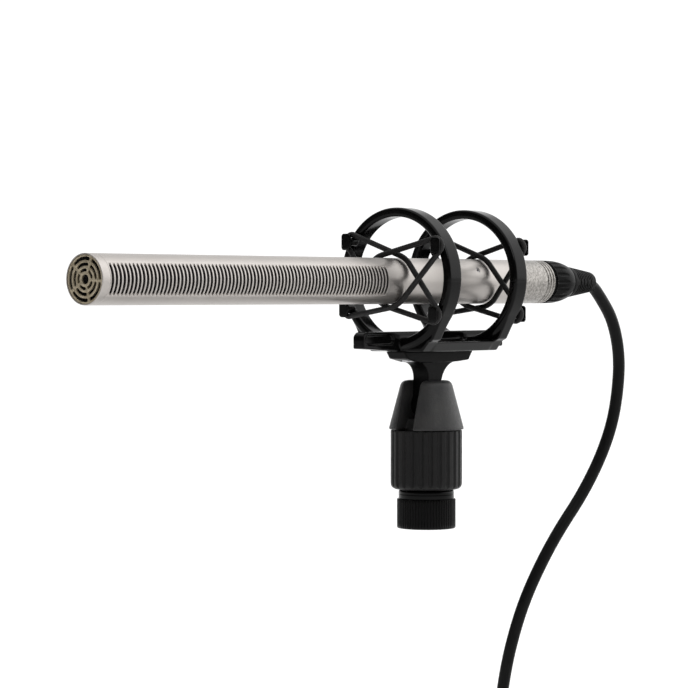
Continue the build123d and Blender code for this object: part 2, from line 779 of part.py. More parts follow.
nut_bottom, nut_top = (20.3, 37.0)
nut_bore_r = STEM_R + 0.05
cam_r = 10.6
cam_low = clamp_pin_z - clamp_pin_r - clamp_drop - 0.15
cam_high = clamp_pin_z + clamp_pin_r + 0.15
turned(
    "collar_insert",
    stand_frame,
    [
        (nut_bottom, nut_bore_r),
        (cam_low, nut_bore_r),
        (cam_low, cam_r),
        (cam_high, cam_r),
        (cam_high, nut_bore_r),
        (nut_top, nut_bore_r),
        (nut_top, NUT_R),
        (nut_bottom, NUT_R),
    ],
)

collar_outline = [
    (COLLAR_BOTTOM, STEM_R + 0.3),
    (nut_bottom, STEM_R + 0.3),
    (nut_bottom, NUT_R),
    (nut_top, NUT_R),
    (COLLAR_TOP, NUT_R),
    (COLLAR_TOP, COLLAR_R - 0.2),
    (COLLAR_TOP - 0.4, COLLAR_R),
    (COLLAR_BOTTOM + 1.9, COLLAR_R),
    (COLLAR_BOTTOM + 0.7, COLLAR_R - 0.55),
    (COLLAR_BOTTOM, COLLAR_R - 1.9),
]
with BuildPart() as locking_collar:
    with BuildSketch(stand_frame):
        with BuildLine():
            Polyline(*collar_outline, close=True)
        make_face()
    revolve(axis=Axis.Z)
    with BuildSketch(Plane.XY.offset(COLLAR_BOTTOM + 0.4)):
        with PolarLocations(COLLAR_R + 0.55, COLLAR_FLUTES):
            Circle(1.15)
    extrude(amount=COLLAR_TOP - COLLAR_BOTTOM, mode=Mode.SUBTRACT)
locking_collar.part.label = "locking_collar"
export_step(locking_collar.part, "parts/locking_collar.step")

boss_r = 8.5
turned(
    "neck_ring",
    stand_frame,
    [
        (ADAPTER_HEIGHT, boss_r),
        (stem_bottom - 0.1, boss_r),
        (stem_bottom - 0.1, NECK_R - 0.5),
        (stem_bottom - 0.6, NECK_R),
        (ADAPTER_HEIGHT + 0.5, NECK_R),
        (ADAPTER_HEIGHT, NECK_R - 0.5),
    ],
)

adapter_outline = [
    (0, THREAD_R),
    (THREAD_DEPTH, THREAD_R),
    (THREAD_DEPTH, 0),
    (spigot_bottom, 0),
    (spigot_bottom, 5.0),
    (stem_bottom, 5.0),
    (stem_bottom, boss_r),
    (ADAPTER_HEIGHT, boss_r),
    (ADAPTER_HEIGHT, ADAPTER_R - 0.5),
    (ADAPTER_HEIGHT - 0.5, ADAPTER_R),
    (0.5, ADAPTER_R),
    (0, ADAPTER_R - 0.5),
]
with BuildPart() as stand_adapter:
    with BuildSketch(stand_frame):
        with BuildLine():
            Polyline(*adapter_outline, close=True)
        make_face()
    revolve(axis=Axis.Z)
    with BuildSketch(Plane.XY.offset(0.8)):
        with PolarLocations(ADAPTER_R + 0.1, KNURL_TEETH):
            Rectangle(0.7, 0.5)
    extrude(amount=ADAPTER_HEIGHT, mode=Mode.SUBTRACT)
stand_adapter.part.label = "stand_adapter"
export_step(stand_adapter.part, "parts/stand_adapter.step")

# ---------------------------------------------------------------- the lead
# Free stretch from the socket plug's sleeve down to the coil, then the tail from the coil to the pin plug.
lead_route = [
    (0, 110.6, 103.1),
    (0, 118.9, 103.1),
    (0, 127.6, 95.9),
    (0, 137.4, 85.6),
    (-0.4, 143.2, 70),
    (-1.6, 143.8, 53.9),
    (-3.8, 142.4, 37.8),
    (-7, 137, 21.6),
    (-11, 128.1, 5.2),
    (-15.5, 116.6, -10.2),
    (-20, 107.8, -26.3),
    (-25, 101.3, -44.4),
    (-30.5, 98.5, -66.3),
    (-35.5, 99.5, -88),
    (-40, 103.5, -109),
    (-44, 108, -128.5),
    (-47, 108.5, -145),
    (-48.3, 101, -157),
    (-48.5, 88.5, -162.1),
    (-48.6, 75, -162.25),
]
tail_route = [
    (-48.5, 62, -145.75),
    (-46.8, 48, -147),
    (-37.5, 34.5, -152.5),
    (-17, 24.5, -159.5),
    (5, 24.5, -162.2),
    (25, 31.5, -162.2),
    (39, 44.5, -160),
    (45, 57.5, -156.5),
    (45, 68, -155.5),
    (45, 78, -155.5),
]


def corner_radii(route):
    """Each corner's radius: 0.45 of its shorter run over the tangent of half its turn."""
    radii = []
    for before, here, after in zip(route, route[1:], route[2:]):
        run_in = Vector(*here) - Vector(*before)
        run_out = Vector(*after) - Vector(*here)
        turn = radians(run_in.get_angle(run_out))
        radii.append(0.45 * min(run_in.length, run_out.length) / tan(turn / 2))
    return radii


def cord_tube(label, route):
    """Sweeps the cord's round section along its route and compares its volume with section times length."""
    radii = corner_radii(route)
    with BuildPart() as tube:
        with BuildLine() as line:
            FilletPolyline(*route, radius=radii)
        path = line.wires()[0]
        with BuildSketch(Plane(origin=path @ 0, z_dir=path % 0)):
            Circle(CORD_R)
        sweep(path=path)
    share = tube.part.volume / (pi * CORD_R**2 * path.length)
    print(label, "length", round(path.length, 1), "radii", [round(r, 1) for r in radii], "volume", round(share, 4))
    write(tube.part, label)
    return path.length


lead_length = cord_tube("cable_lead", lead_route)
tail_length = cord_tube("cable_tail", tail_route)

coil_half_width = COIL_COLUMNS * CORD_R
coil_height = COIL_LAYERS * 2 * CORD_R
coil_frame = Plane(origin=(COIL_X, COIL_Y, GROUND_Z), x_dir=(1, 0, 0), z_dir=(0, -1, 0))
coil_axis = Axis((COIL_X, COIL_Y, 0), (0, 0, 1))
with BuildPart() as cable_coil:
    with BuildSketch(coil_frame):
        with Locations((COIL_R, coil_height / 2)):
            RectangleRounded(2 * coil_half_width, coil_height, CORD_R * 0.9)
    revolve(axis=coil_axis)
cable_coil.part.label = "cable_coil"
export_step(cable_coil.part, "parts/cable_coil.step")
coil_turns = COIL_COLUMNS * COIL_LAYERS
print("cord length", round(lead_length + tail_length + coil_turns * 2 * pi * COIL_R, 0))

tie_wall = 0.8
tie_width = 10.0
tie_gap = 0.5
with BuildPart() as coil_tie:
    with BuildSketch(Plane(origin=(COIL_X - tie_width / 2, COIL_Y, GROUND_Z), x_dir=(0, 1, 0), z_dir=(1, 0, 0))):
        with Locations((COIL_R, coil_height / 2)):
            RectangleRounded(
                2 * (coil_half_width + tie_gap + tie_wall), coil_height + 2 * tie_wall, CORD_R + tie_wall
            )
            RectangleRounded(2 * (coil_half_width + tie_gap), coil_height, CORD_R * 0.85, mode=Mode.SUBTRACT)
    extrude(amount=tie_width)
coil_tie.part.label = "coil_tie"
export_step(coil_tie.part, "parts/coil_tie.step")

# Pin plug on the far end: its axis runs along +Y, cable end first.
far_relief_end = 19.4
far_collar_end = 38.2
far_shell_end = 76.0
far_socket_depth = 17.0
strain_relief("far_relief", far_frame, far_relief_end, -1, CORD_R + 0.05)
boot_collar("far_collar", far_frame, far_collar_end - 0.1, -1)
turned(
    "far_shell",
    far_frame,
    [
        (far_collar_end, shell_bore_r),
        (far_collar_end, PLUG_R),
        (far_shell_end - 0.4, PLUG_R),
        (far_shell_end, PLUG_R - 0.4),
        (far_shell_end, SOCKET_R),
        (far_shell_end - far_socket_depth, SOCKET_R),
        (far_shell_end - far_socket_depth, shell_bore_r),
    ],
)
far_insert_end = far_shell_end - far_socket_depth
far_mouth = Plane(origin=far_frame.from_local_coords((far_insert_end, 0, 0)), x_dir=(1, 0, 0), z_dir=(0, -1, 0))
with BuildPart() as far_insert:
    with BuildSketch(far_mouth):
        Circle(shell_bore_r - 0.05)
    extrude(amount=10)
    with BuildSketch(far_mouth):
        with Locations(*pin_points(pin_circle_r)):
            Circle(pin_r)
    extrude(amount=pin_sunk, mode=Mode.SUBTRACT)
far_insert.part.label = "far_insert"
export_step(far_insert.part, "parts/far_insert.step")

with BuildPart() as far_pins:
    with BuildSketch(far_mouth.offset(-pin_reach)):
        with Locations(*pin_points(pin_circle_r)):
            Circle(pin_r)
    extrude(amount=pin_reach + pin_sunk)
far_pins.part.label = "far_pins"
export_step(far_pins.part, "parts/far_pins.step")
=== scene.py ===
import json
import math

import bmesh
import bpy
from mathutils import Matrix, Vector
from mathutils.noise import noise


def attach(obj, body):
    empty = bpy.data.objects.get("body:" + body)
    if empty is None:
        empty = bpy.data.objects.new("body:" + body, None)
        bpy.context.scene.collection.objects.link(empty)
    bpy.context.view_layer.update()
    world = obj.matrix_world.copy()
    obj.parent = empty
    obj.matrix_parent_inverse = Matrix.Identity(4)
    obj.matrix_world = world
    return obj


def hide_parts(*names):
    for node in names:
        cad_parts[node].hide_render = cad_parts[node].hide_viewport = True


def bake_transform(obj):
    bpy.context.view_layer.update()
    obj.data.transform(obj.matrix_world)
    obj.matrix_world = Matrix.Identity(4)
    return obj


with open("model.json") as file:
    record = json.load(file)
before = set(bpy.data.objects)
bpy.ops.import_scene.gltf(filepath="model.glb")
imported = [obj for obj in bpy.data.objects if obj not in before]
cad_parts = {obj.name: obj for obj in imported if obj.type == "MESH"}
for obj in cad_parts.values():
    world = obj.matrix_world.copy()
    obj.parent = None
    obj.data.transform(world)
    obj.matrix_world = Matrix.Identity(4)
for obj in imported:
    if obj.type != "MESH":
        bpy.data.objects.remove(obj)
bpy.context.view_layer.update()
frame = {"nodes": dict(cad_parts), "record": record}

MM = 0.001
MERGE_DISTANCE = 0.000002
nodes = frame["nodes"]
rows = {row["node"]: row for row in frame["record"]["subparts"]}
body_of = {node: body for body, members in frame["record"]["behaviour"]["bodies"].items() for node in members}
scene = bpy.context.scene
scene.view_settings.view_transform = "Standard"

# ---------- the row's dimensions, in mm
MIC_R = 9.5
MIC_BORE = 8.9
MIC_FRONT = -198.2
MIC_LENGTH = 255.0
MIC_Z = 103.1
RIM_LENGTH = 4.0
SOCKET_START = 237.0
SOCKET_R = 8.05
SLOT_COUNT = 79
SLOT_PITCH = 2.0
SLOT_WIDTH = 1.2
SLOT_FIRST = 5.2
SLOT_FLAT_X = 7.29
GRILLE_R = 9.0
PLUG_R = 9.45
SHELL_BORE = 7.4
SHELL_END = 277.4
COLLAR_END = 295.6
RELIEF_START = 296.2
RING_Z = 104.4
RING_WIDTH = 8.5
SPLIT_Z = 103.0
FRONT_RING_Y = -21.4
REAR_RING_Y = 23.5
HOOK_ANGLE_A = 35.0
HOOK_ANGLE_B = 29.5
HOOK_R = 26.2
HOOK_WRAP = 3.05
LOOP_R = 1.2
LOOP_AT_HOOK = 1.3
LOOPS_AT_TUBE = (0.55, 4.8)
ADAPTER_R = 12.25
ADAPTER_HEIGHT = 12.25
NECK_R = 11.6
THREAD_R = 7.45
THREAD_DEPTH = 13.5
KNURL_TEETH = 62
COLLAR_R = 14.9
COLLAR_BOTTOM = 16.3
COLLAR_TOP = 40.9
COLLAR_FLUTES = 24
NUT_R = 12.0
STEM_R = 9.0
GROUND = -165.0
CORD_R = 2.75
FAR_PLUG = (45.0, 64.0, GROUND + PLUG_R + 0.05)
FAR_RELIEF_END = 19.4
FAR_COLLAR_END = 38.2
FAR_SHELL_END = 76.0

# ---------- camera
camera_data = bpy.data.cameras.new("camera")
camera_data.sensor_width = 36.0
camera_data.lens = 137.65
camera_data.clip_start = 0.05
camera_data.clip_end = 60.0
camera = bpy.data.objects.new("camera", camera_data)
scene.collection.objects.link(camera)
camera.location = (0.6838, -0.8615, 0.0978)
pitch = math.radians(-1.091)
heading = Vector((-0.6459, 0.7634, 0.0)).normalized()
look = heading * math.cos(pitch) + Vector((0, 0, 1)) * math.sin(pitch)
camera.rotation_euler = look.to_track_quat("-Z", "Y").to_euler()
scene.camera = camera


# ---------- node helpers for the materials
class Surface:
    """A Principled material under construction, with its own object coordinates in metres."""

    def __init__(self, name, colour, metallic, roughness, specular=0.5):
        self.material = bpy.data.materials.new(name)
        self.material.use_nodes = True
        self.tree = self.material.node_tree
        self.shader = self.tree.nodes["Principled BSDF"]
        self.shader.inputs["Base Color"].default_value = (*colour, 1)
        self.shader.inputs["Metallic"].default_value = metallic
        self.shader.inputs["Roughness"].default_value = roughness
        self.shader.inputs["Specular IOR Level"].default_value = specular
        self.place = self.node("ShaderNodeTexCoord").outputs["Object"]
        self.relief = None

    def node(self, kind, **settings):
        made = self.tree.nodes.new(kind)
        for key, value in settings.items():
            setattr(made, key, value)
        return made

    def link(self, start, end):
        self.tree.links.new(start, end)

    def stretched(self, scale):
        """Object coordinates scaled by a vector."""
        mapping = self.node("ShaderNodeMapping")
        mapping.inputs["Scale"].default_value = scale
        self.link(self.place, mapping.inputs["Vector"])
        return mapping.outputs["Vector"]

    def speckle(self, scale, detail=3.0, stretch=None, roughness=0.55):
        """Noise, 0 to 1; scale is in features a metre."""
        texture = self.node("ShaderNodeTexNoise")
        texture.inputs["Scale"].default_value = scale
        texture.inputs["Detail"].default_value = detail
        texture.inputs["Roughness"].default_value = roughness
        self.link(self.stretched(stretch) if stretch else self.place, texture.inputs["Vector"])
        return texture.outputs["Fac"]

    def cells(self, scale):
        """Distance to the nearest of scattered cell centres."""
        texture = self.node("ShaderNodeTexVoronoi")
        texture.inputs["Scale"].default_value = scale
        self.link(self.place, texture.inputs["Vector"])
        return texture.outputs["Distance"]

    def bands(self, scale, direction="Y", distortion=0.0):
        """Parallel bands across an axis."""
        texture = self.node("ShaderNodeTexWave", bands_direction=direction)
        texture.inputs["Scale"].default_value = scale
        texture.inputs["Distortion"].default_value = distortion
        self.link(self.place, texture.inputs["Vector"])
        return texture.outputs["Fac"]

    def spread(self, value, low, high, start=0.35, end=0.65):
        """A value taken from start..end to low..high."""
        node = self.node("ShaderNodeMapRange")
        node.inputs["From Min"].default_value = start
        node.inputs["From Max"].default_value = end
        node.inputs["To Min"].default_value = low
        node.inputs["To Max"].default_value = high
        self.link(value, node.inputs["Value"])
        return node.outputs["Result"]

    def tones(self, value, dark, light, start=0.35, end=0.65):
        """Two base colours, mixed by a value."""
        ramp = self.node("ShaderNodeValToRGB")
        ramp.color_ramp.elements[0].position = start
        ramp.color_ramp.elements[0].color = (*dark, 1)
        ramp.color_ramp.elements[1].position = end
        ramp.color_ramp.elements[1].color = (*light, 1)
        self.link(value, ramp.inputs["Fac"])
        self.link(ramp.outputs["Color"], self.shader.inputs["Base Color"])

    def finish_roughness(self, value):
        self.link(value, self.shader.inputs["Roughness"])

    def bump(self, value, strength, depth):
        """Adds relief of the given depth in metres on top of any earlier one."""
        node = self.node("ShaderNodeBump")
        node.inputs["Strength"].default_value = strength
        node.inputs["Distance"].default_value = depth
        self.link(value, node.inputs["Height"])
        if self.relief:
            self.link(self.relief, node.inputs["Normal"])
        self.relief = node.outputs["Normal"]
        self.link(self.relief, self.shader.inputs["Normal"])


def satin_nickel():
    """Bead-blasted, nickel-plated brass tube: fine even grain and a faint warm cast."""
    look = Surface("satin_metal", (0.62, 0.58, 0.54), 1.0, 0.3)
    look.tones(look.speckle(45, 4), (0.375, 0.350, 0.330), (0.405, 0.382, 0.362), 0.3, 0.7)
    look.finish_roughness(look.spread(look.speckle(2600, 2), 0.36, 0.45))
    look.bump(look.speckle(7000, 2), 0.18, 0.00003)
    look.bump(look.speckle(160, 3), 0.05, 0.00004)
    return look.material


def slot_wall():
    """Bare brass in the milled slots, darkened."""
    look = Surface("slot_wall", (0.30, 0.19, 0.10), 1.0, 0.4)
    look.tones(look.speckle(900, 3), (0.42, 0.31, 0.21), (0.62, 0.49, 0.36))
    look.bump(look.bands(1500, "X", distortion=1.5), 0.3, 0.00002)
    return look.material


def grille_enamel():
    """Olive-bronze baked finish with a slight orange peel."""
    look = Surface("grille_enamel", (0.33, 0.28, 0.20), 0.55, 0.42)
    look.tones(look.speckle(380, 4), (0.27, 0.225, 0.15), (0.40, 0.345, 0.25))
    look.finish_roughness(look.spread(look.speckle(1500, 2), 0.34, 0.5))
    look.bump(look.speckle(1800, 2), 0.25, 0.00004)
    return look.material


def acoustic_cloth():
    """Black woven acoustic cloth."""
    look = Surface("acoustic_mesh", (0.006, 0.006, 0.006), 0.0, 0.85, 0.2)
    look.tones(look.speckle(2400, 3), (0.003, 0.003, 0.003), (0.012, 0.011, 0.010))
    look.bump(look.bands(1400, "Y"), 0.6, 0.00008)
    look.bump(look.bands(1400, "Z"), 0.6, 0.00008)
    return look.material


def cast_nickel():
    """Plated die-cast plug shell: the casting's grain shows through the plating."""
    look = Surface("plug_nickel", (0.62, 0.60, 0.57), 1.0, 0.34)
    look.tones(look.speckle(1100, 5), (0.16, 0.152, 0.14), (0.35, 0.333, 0.312), 0.36, 0.64)
    look.finish_roughness(look.spread(look.speckle(1500, 4), 0.24, 0.46))
    look.bump(look.speckle(2300, 3, roughness=0.6), 0.4, 0.00005)
    look.bump(look.cells(3200), 0.15, 0.00003)
    return look.material


def moulded_black(name, tone, rough, grain_scale, grain, specular):
    """Moulded plastic: tone is its grey, grain the depth of the mould's texture in metres."""
    look = Surface(name, (tone, tone, tone), 0.0, rough, specular)
    dark = (tone * 0.8, tone * 0.8, tone * 0.82)
    light = (tone * 1.25, tone * 1.22, tone * 1.2)
    look.tones(look.speckle(120, 4), dark, light)
    look.finish_roughness(look.spread(look.speckle(grain_scale * 0.6, 3), rough * 0.85, rough * 1.18))
    look.bump(look.speckle(grain_scale, 3), 0.6, grain)
    look.bump(look.speckle(70, 2), 0.12, 0.0002)
    return look.material


def braided_elastic():
    """Round elastic in a tight braided cover."""
    look = Surface("elastic_black", (0.006, 0.006, 0.006), 0.0, 0.6, 0.22)
    look.tones(look.speckle(1500, 3), (0.003, 0.003, 0.003), (0.010, 0.009, 0.009))
    look.shader.inputs["Sheen Weight"].default_value = 0.04
    look.shader.inputs["Sheen Roughness"].default_value = 0.5
    look.bump(look.cells(2200), 0.7, 0.00012)
    return look.material


def tie_fabric():
    """Looped hook-and-loop strap."""
    look = Surface("tie_fabric", (0.014, 0.014, 0.016), 0.0, 0.9, 0.2)
    look.tones(look.speckle(2600, 4), (0.006, 0.006, 0.008), (0.035, 0.034, 0.038))
    look.shader.inputs["Sheen Weight"].default_value = 0.4
    look.bump(look.cells(1900), 0.9, 0.0003)
    return look.material


def plated(name, dark, light, rough):
    """Machined or plated metal with fine tool marks."""
    look = Surface(name, light, 1.0, rough)
    look.tones(look.speckle(300, 4), dark, light)
    look.finish_roughness(look.spread(look.speckle(900, 3), rough * 0.8, rough * 1.3))
    look.bump(look.speckle(3500, 2, stretch=(1, 0.15, 1)), 0.2, 0.00003)
    return look.material


def board_laminate():
    """Green solder mask over copper tracks."""
    look = Surface("board_green", (0.01, 0.10, 0.04), 0.0, 0.35)
    look.tones(look.bands(260, "Z", distortion=2.0), (0.006, 0.07, 0.03), (0.02, 0.16, 0.06), 0.45, 0.55)
    look.bump(look.bands(260, "Z", distortion=2.0), 0.3, 0.00003)
    return look.material


# grey tone, roughness, grain scale, grain depth in metres, specular
MOULDED_BLACKS = {
    "boot_plastic": (0.0012, 0.24, 900, 0.00002, 0.02),
    "relief_rubber": (0.0025, 0.45, 1600, 0.00004, 0.04),
    "gloss_black": (0.0015, 0.14, 500, 0.000008, 0.1),
    "textured_black": (0.022, 0.46, 2000, 0.00014, 0.26),
    "foot_black": (0.0015, 0.36, 1400, 0.00002, 0.05),
    "collar_black": (0.005, 0.46, 2000, 0.00011, 0.18),
    "ring_gloss": (0.001, 0.06, 300, 0.000004, 0.1),
    "adapter_black": (0.0012, 0.34, 1500, 0.00002, 0.1),
    "cable_rubber": (0.003, 0.45, 1300, 0.00003, 0.1),
    "inner_plastic": (0.011, 0.45, 1500, 0.00003, 0.4),
}

looks = {
    "satin_metal": satin_nickel(),
    "grille_enamel": grille_enamel(),
    "acoustic_mesh": acoustic_cloth(),
    "plug_nickel": cast_nickel(),
    "elastic_black": braided_elastic(),
    "tie_fabric": tie_fabric(),
    "gold_contact": plated("gold_contact", (0.72, 0.47, 0.16), (0.86, 0.62, 0.26), 0.25),
    "brass_fitting": plated("brass_fitting", (0.55, 0.38, 0.15), (0.72, 0.53, 0.24), 0.32),
    "steel_hardware": plated("steel_hardware", (0.34, 0.34, 0.35), (0.52, 0.52, 0.53), 0.3),
    "capsule_steel": plated("capsule_steel", (0.45, 0.44, 0.42), (0.62, 0.61, 0.59), 0.28),
    "board_green": board_laminate(),
}
looks.update((name, moulded_black(name, *values)) for name, values in MOULDED_BLACKS.items())
wall_look = slot_wall()


# ---------- mesh helpers
def smoothed(mesh, angle=32):
    """Smooth shading with sharp edges over an angle."""
    mesh.polygons.foreach_set("use_smooth", [True] * len(mesh.polygons))
    mesh.set_sharp_from_angle(angle=math.radians(angle))
    mesh.update()


def placed(name, mesh, node, *materials, angle=32):
    """Links a finished mesh as the visible piece for a CAD node, on that node's body."""
    smoothed(mesh, angle)
    mesh.materials.clear()
    for material in materials or (looks[rows[node]["material_slot"]],):
        mesh.materials.append(material)
    piece = bpy.data.objects.new(name, mesh)
    scene.collection.objects.link(piece)
    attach(piece, body_of[node])
    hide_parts(node)


def along_mic(s, u, v):
    return (u * MM, (MIC_FRONT + s) * MM, (MIC_Z + v) * MM)


def along_stand(s, u, v):
    return (u * MM, v * MM, s * MM)


def along_far_plug(s, u, v):
    return ((FAR_PLUG[0] + u) * MM, (FAR_PLUG[1] + s) * MM, (FAR_PLUG[2] + v) * MM)


def rounded(corners, steps=4):
    """A closed outline with its corners rounded; each corner is (along, radius, rounding)."""
    points = []
    for i, (s, r, size) in enumerate(corners):
        here = Vector((s, r))
        if not size:
            points.append(here)
            continue
        to_last = Vector(corners[i - 1][:2]) - here
        to_next = Vector(corners[(i + 1) % len(corners)][:2]) - here
        start = here + to_last.normalized() * min(size, 0.48 * to_last.length)
        end = here + to_next.normalized() * min(size, 0.48 * to_next.length)
        for k in range(steps + 1):
            w = k / steps
            points.append(start * (1 - w) ** 2 + here * 2 * w * (1 - w) + end * w * w)
    return [tuple(p) for p in points]


def divided(outline, longest):
    """The outline with extra points; longest is the limit for a stretch, or a function of its two ends."""
    points = []
    for i, here in enumerate(outline):
        there = outline[(i + 1) % len(outline)]
        limit = longest(here, there) if callable(longest) else longest
        parts = max(1, math.ceil(math.dist(here, there) / limit))
        for k in range(parts):
            w = k / parts
            points.append((here[0] * (1 - w) + there[0] * w, here[1] * (1 - w) + there[1] * w))
    return points


def bridged(count, sides, closed):
    """The faces that join each ring of points to the next."""
    faces = []
    for i in range(count if closed else count - 1):
        j = (i + 1) % count
        for k in range(sides):
            n = (k + 1) % sides
            faces.append((i * sides + k, i * sides + n, j * sides + n, j * sides + k))
    return faces


def turned(name, outline, sides, place, dent=None):
    """A mesh turned about an axis from a closed outline of (along, radius); dent changes the radius."""
    verts = []
    for s, r in outline:
        for k in range(sides):
            angle = 2 * math.pi * k / sides
            radius = dent(s, r, angle) if dent else r
            verts.append(place(s, radius * math.cos(angle), radius * math.sin(angle)))
    mesh = bpy.data.meshes.new(name)
    mesh.from_pydata(verts, [], bridged(len(outline), sides, True))
    tidied(mesh)
    return mesh


def turned_piece(name, node, outline, sides, place, dent=None, angle=32):
    """The visible piece for a CAD node, turned about an axis."""
    placed(name, turned(name, outline, sides, place, dent), node, angle=angle)


def tidied(mesh):
    """Merges doubled points, drops empty faces and turns the normals outwards."""
    work = bmesh.new()
    work.from_mesh(mesh)
    bmesh.ops.remove_doubles(work, verts=work.verts, dist=MERGE_DISTANCE)
    bmesh.ops.dissolve_degenerate(work, dist=MERGE_DISTANCE, edges=work.edges)
    bmesh.ops.recalc_face_normals(work, faces=work.faces)
    work.to_mesh(mesh)
    work.free()


def evaluated(piece):
    """A mesh with the piece's modifiers applied; the piece itself goes."""
    bpy.context.view_layer.update()
    mesh = bpy.data.meshes.new_from_object(piece.evaluated_get(bpy.context.evaluated_depsgraph_get()))
    bpy.data.objects.remove(piece)
    return mesh


def loose(name, mesh):
    """A bare object for modifiers to work on."""
    piece = bpy.data.objects.new(name, mesh)
    scene.collection.objects.link(piece)
    return piece


def cut_out(mesh, tool):
    """The mesh with the tool's volume taken away."""
    piece = loose("cut_work", mesh)
    cutter = loose("cut_tool", tool)
    cut = piece.modifiers.new("cut", "BOOLEAN")
    cut.operation = "DIFFERENCE"
    cut.object = cutter
    cut.solver = "EXACT"
    result = evaluated(piece)
    bpy.data.objects.remove(cutter)
    return result


def moulded(name, node, voxel, rounds, look=None, lap=0.0):
    """A CAD node as it leaves the mould, with every edge and inner corner softened.

    lap moves the faces at the ring's split line, so that the two mouldings still meet there.
    """
    piece = loose(name, nodes[node].data.copy())
    for vert in piece.data.vertices:
        if abs(vert.co.z / MM - SPLIT_Z) < 0.01:
            vert.co.z += lap * MM
    weld = piece.modifiers.new("weld", "WELD")
    weld.merge_threshold = 0.000005
    remesh = piece.modifiers.new("remesh", "REMESH")
    remesh.mode = "VOXEL"
    remesh.voxel_size = voxel * MM
    remesh.use_smooth_shade = True
    smooth = piece.modifiers.new("smooth", "SMOOTH")
    smooth.factor = 0.5
    smooth.iterations = rounds
    mesh = evaluated(piece)
    mesh.name = name
    placed(name, mesh, node, look or looks[rows[node]["material_slot"]], angle=180)


def machined(name, node, width):
    """A CAD node with its sharp edges broken."""
    work = bmesh.new()
    work.from_mesh(nodes[node].data)
    bmesh.ops.remove_doubles(work, verts=work.verts, dist=0.000003)
    bmesh.ops.dissolve_limit(work, angle_limit=math.radians(1), verts=work.verts, edges=work.edges)
    sharp = [e for e in work.edges if len(e.link_faces) == 2 and e.calc_face_angle(0) > math.radians(35)]
    bmesh.ops.bevel(
        work, geom=sharp, offset=width * MM, offset_type="OFFSET", segments=2, affect="EDGES",
        profile=0.5, clamp_overlap=True,
    )
    mesh = bpy.data.meshes.new(name)
    work.to_mesh(mesh)
    work.free()
    placed(name, mesh, node, angle=35)


# ---------- microphone tube with its slots
def slotted_tube():
    """The tube as matched outer and inner skins, open where a flat cut takes each slot through the wall."""
    window_steps = 16
    between_steps = 20

    def columns(radius):
        cut = math.degrees(math.acos(SLOT_FLAT_X / radius))
        angles = []
        for centre in (0, 180):
            angles += [centre - cut + 2 * cut * k / window_steps for k in range(window_steps)]
            angles += [centre + cut + (180 - 2 * cut) * k / between_steps for k in range(between_steps)]
        return [math.radians(a) for a in angles]

    outer_angles = columns(MIC_R)
    inner_angles = columns(MIC_BORE)
    sides = len(outer_angles)
    half = window_steps + between_steps
    window = {k for k in range(sides) if k % half < window_steps}
    places = [RIM_LENGTH + 0.35]
    for slot in range(SLOT_COUNT):
        middle = SLOT_FIRST + slot * SLOT_PITCH
        places += [middle - SLOT_WIDTH / 2, middle + SLOT_WIDTH / 2]
    places += [SLOT_FIRST + SLOT_COUNT * SLOT_PITCH + 4, 200.0, 222.0, 236.9]
    outer_rows = [(RIM_LENGTH + 0.02, MIC_R - 0.16), (RIM_LENGTH + 0.1, MIC_R - 0.04)]
    outer_rows += [(s, MIC_R) for s in places]
    outer_rows += [(MIC_LENGTH - 0.35, MIC_R), (MIC_LENGTH - 0.1, MIC_R - 0.08), (MIC_LENGTH, MIC_R - 0.3)]
    end_rows = [(MIC_LENGTH, SOCKET_R + 0.1), (MIC_LENGTH - 0.1, SOCKET_R), (SOCKET_START, SOCKET_R)]
    inner_rows = [(RIM_LENGTH + 0.02, MIC_BORE), (RIM_LENGTH + 0.1, MIC_BORE)]
    inner_rows += [(s, MIC_BORE) for s in places]

    verts = []

    def ring(s, r, angles):
        first = len(verts)
        verts.extend(along_mic(s, r * math.cos(a), r * math.sin(a)) for a in angles)
        return first

    outer = [ring(s, r, outer_angles) for s, r in outer_rows]
    ends = [ring(s, r, outer_angles) for s, r in end_rows]
    inner = [ring(s, r, inner_angles) for s, r in inner_rows]
    faces = []
    walls = []

    def band(a, b, skipped=()):
        for k in range(sides):
            if k not in skipped:
                n = (k + 1) % sides
                faces.append((a + k, a + n, b + n, b + k))

    first_slot = 3
    slot_rows = {first_slot + 2 * slot for slot in range(SLOT_COUNT)}
    for i in range(len(outer) - 1):
        band(outer[i], outer[i + 1], window if i in slot_rows else ())
    for a, b in zip([outer[-1]] + ends, ends + [inner[-1]]):
        band(a, b)
    for i in range(len(inner) - 1, 0, -1):
        band(inner[i], inner[i - 1], window if i - 1 in slot_rows else ())
    band(inner[0], outer[0])
    rim_edges = set()
    for i in slot_rows:
        for row in (i, i + 1):
            for k in window:
                n = (k + 1) % sides
                walls.append(len(faces))
                faces.append((outer[row] + k, outer[row] + n, inner[row] + n, inner[row] + k))
                rim_edges.add(frozenset((outer[row] + k, outer[row] + n)))
        for start in (0, half):
            for k in (start, start + window_steps):
                walls.append(len(faces))
                faces.append((outer[i] + k, outer[i + 1] + k, inner[i + 1] + k, inner[i] + k))
                rim_edges.add(frozenset((outer[i] + k, outer[i + 1] + k)))
    mesh = bpy.data.meshes.new("mic_tube_skin")
    mesh.from_pydata(verts, [], faces)
    for face in walls:
        mesh.polygons[face].material_index = 1
    work = bmesh.new()
    work.from_mesh(mesh)
    bmesh.ops.recalc_face_normals(work, faces=work.faces)
    edges = [e for e in work.edges if frozenset(v.index for v in e.verts) in rim_edges]
    bmesh.ops.bevel(
        work, geom=edges, offset=0.07 * MM, offset_type="OFFSET", segments=1, affect="EDGES",
        profile=0.5, material=0,
    )
    work.to_mesh(mesh)
    work.free()
    return mesh


SCREW_AT = 223.2
SCREW_ANGLE = math.radians(31)


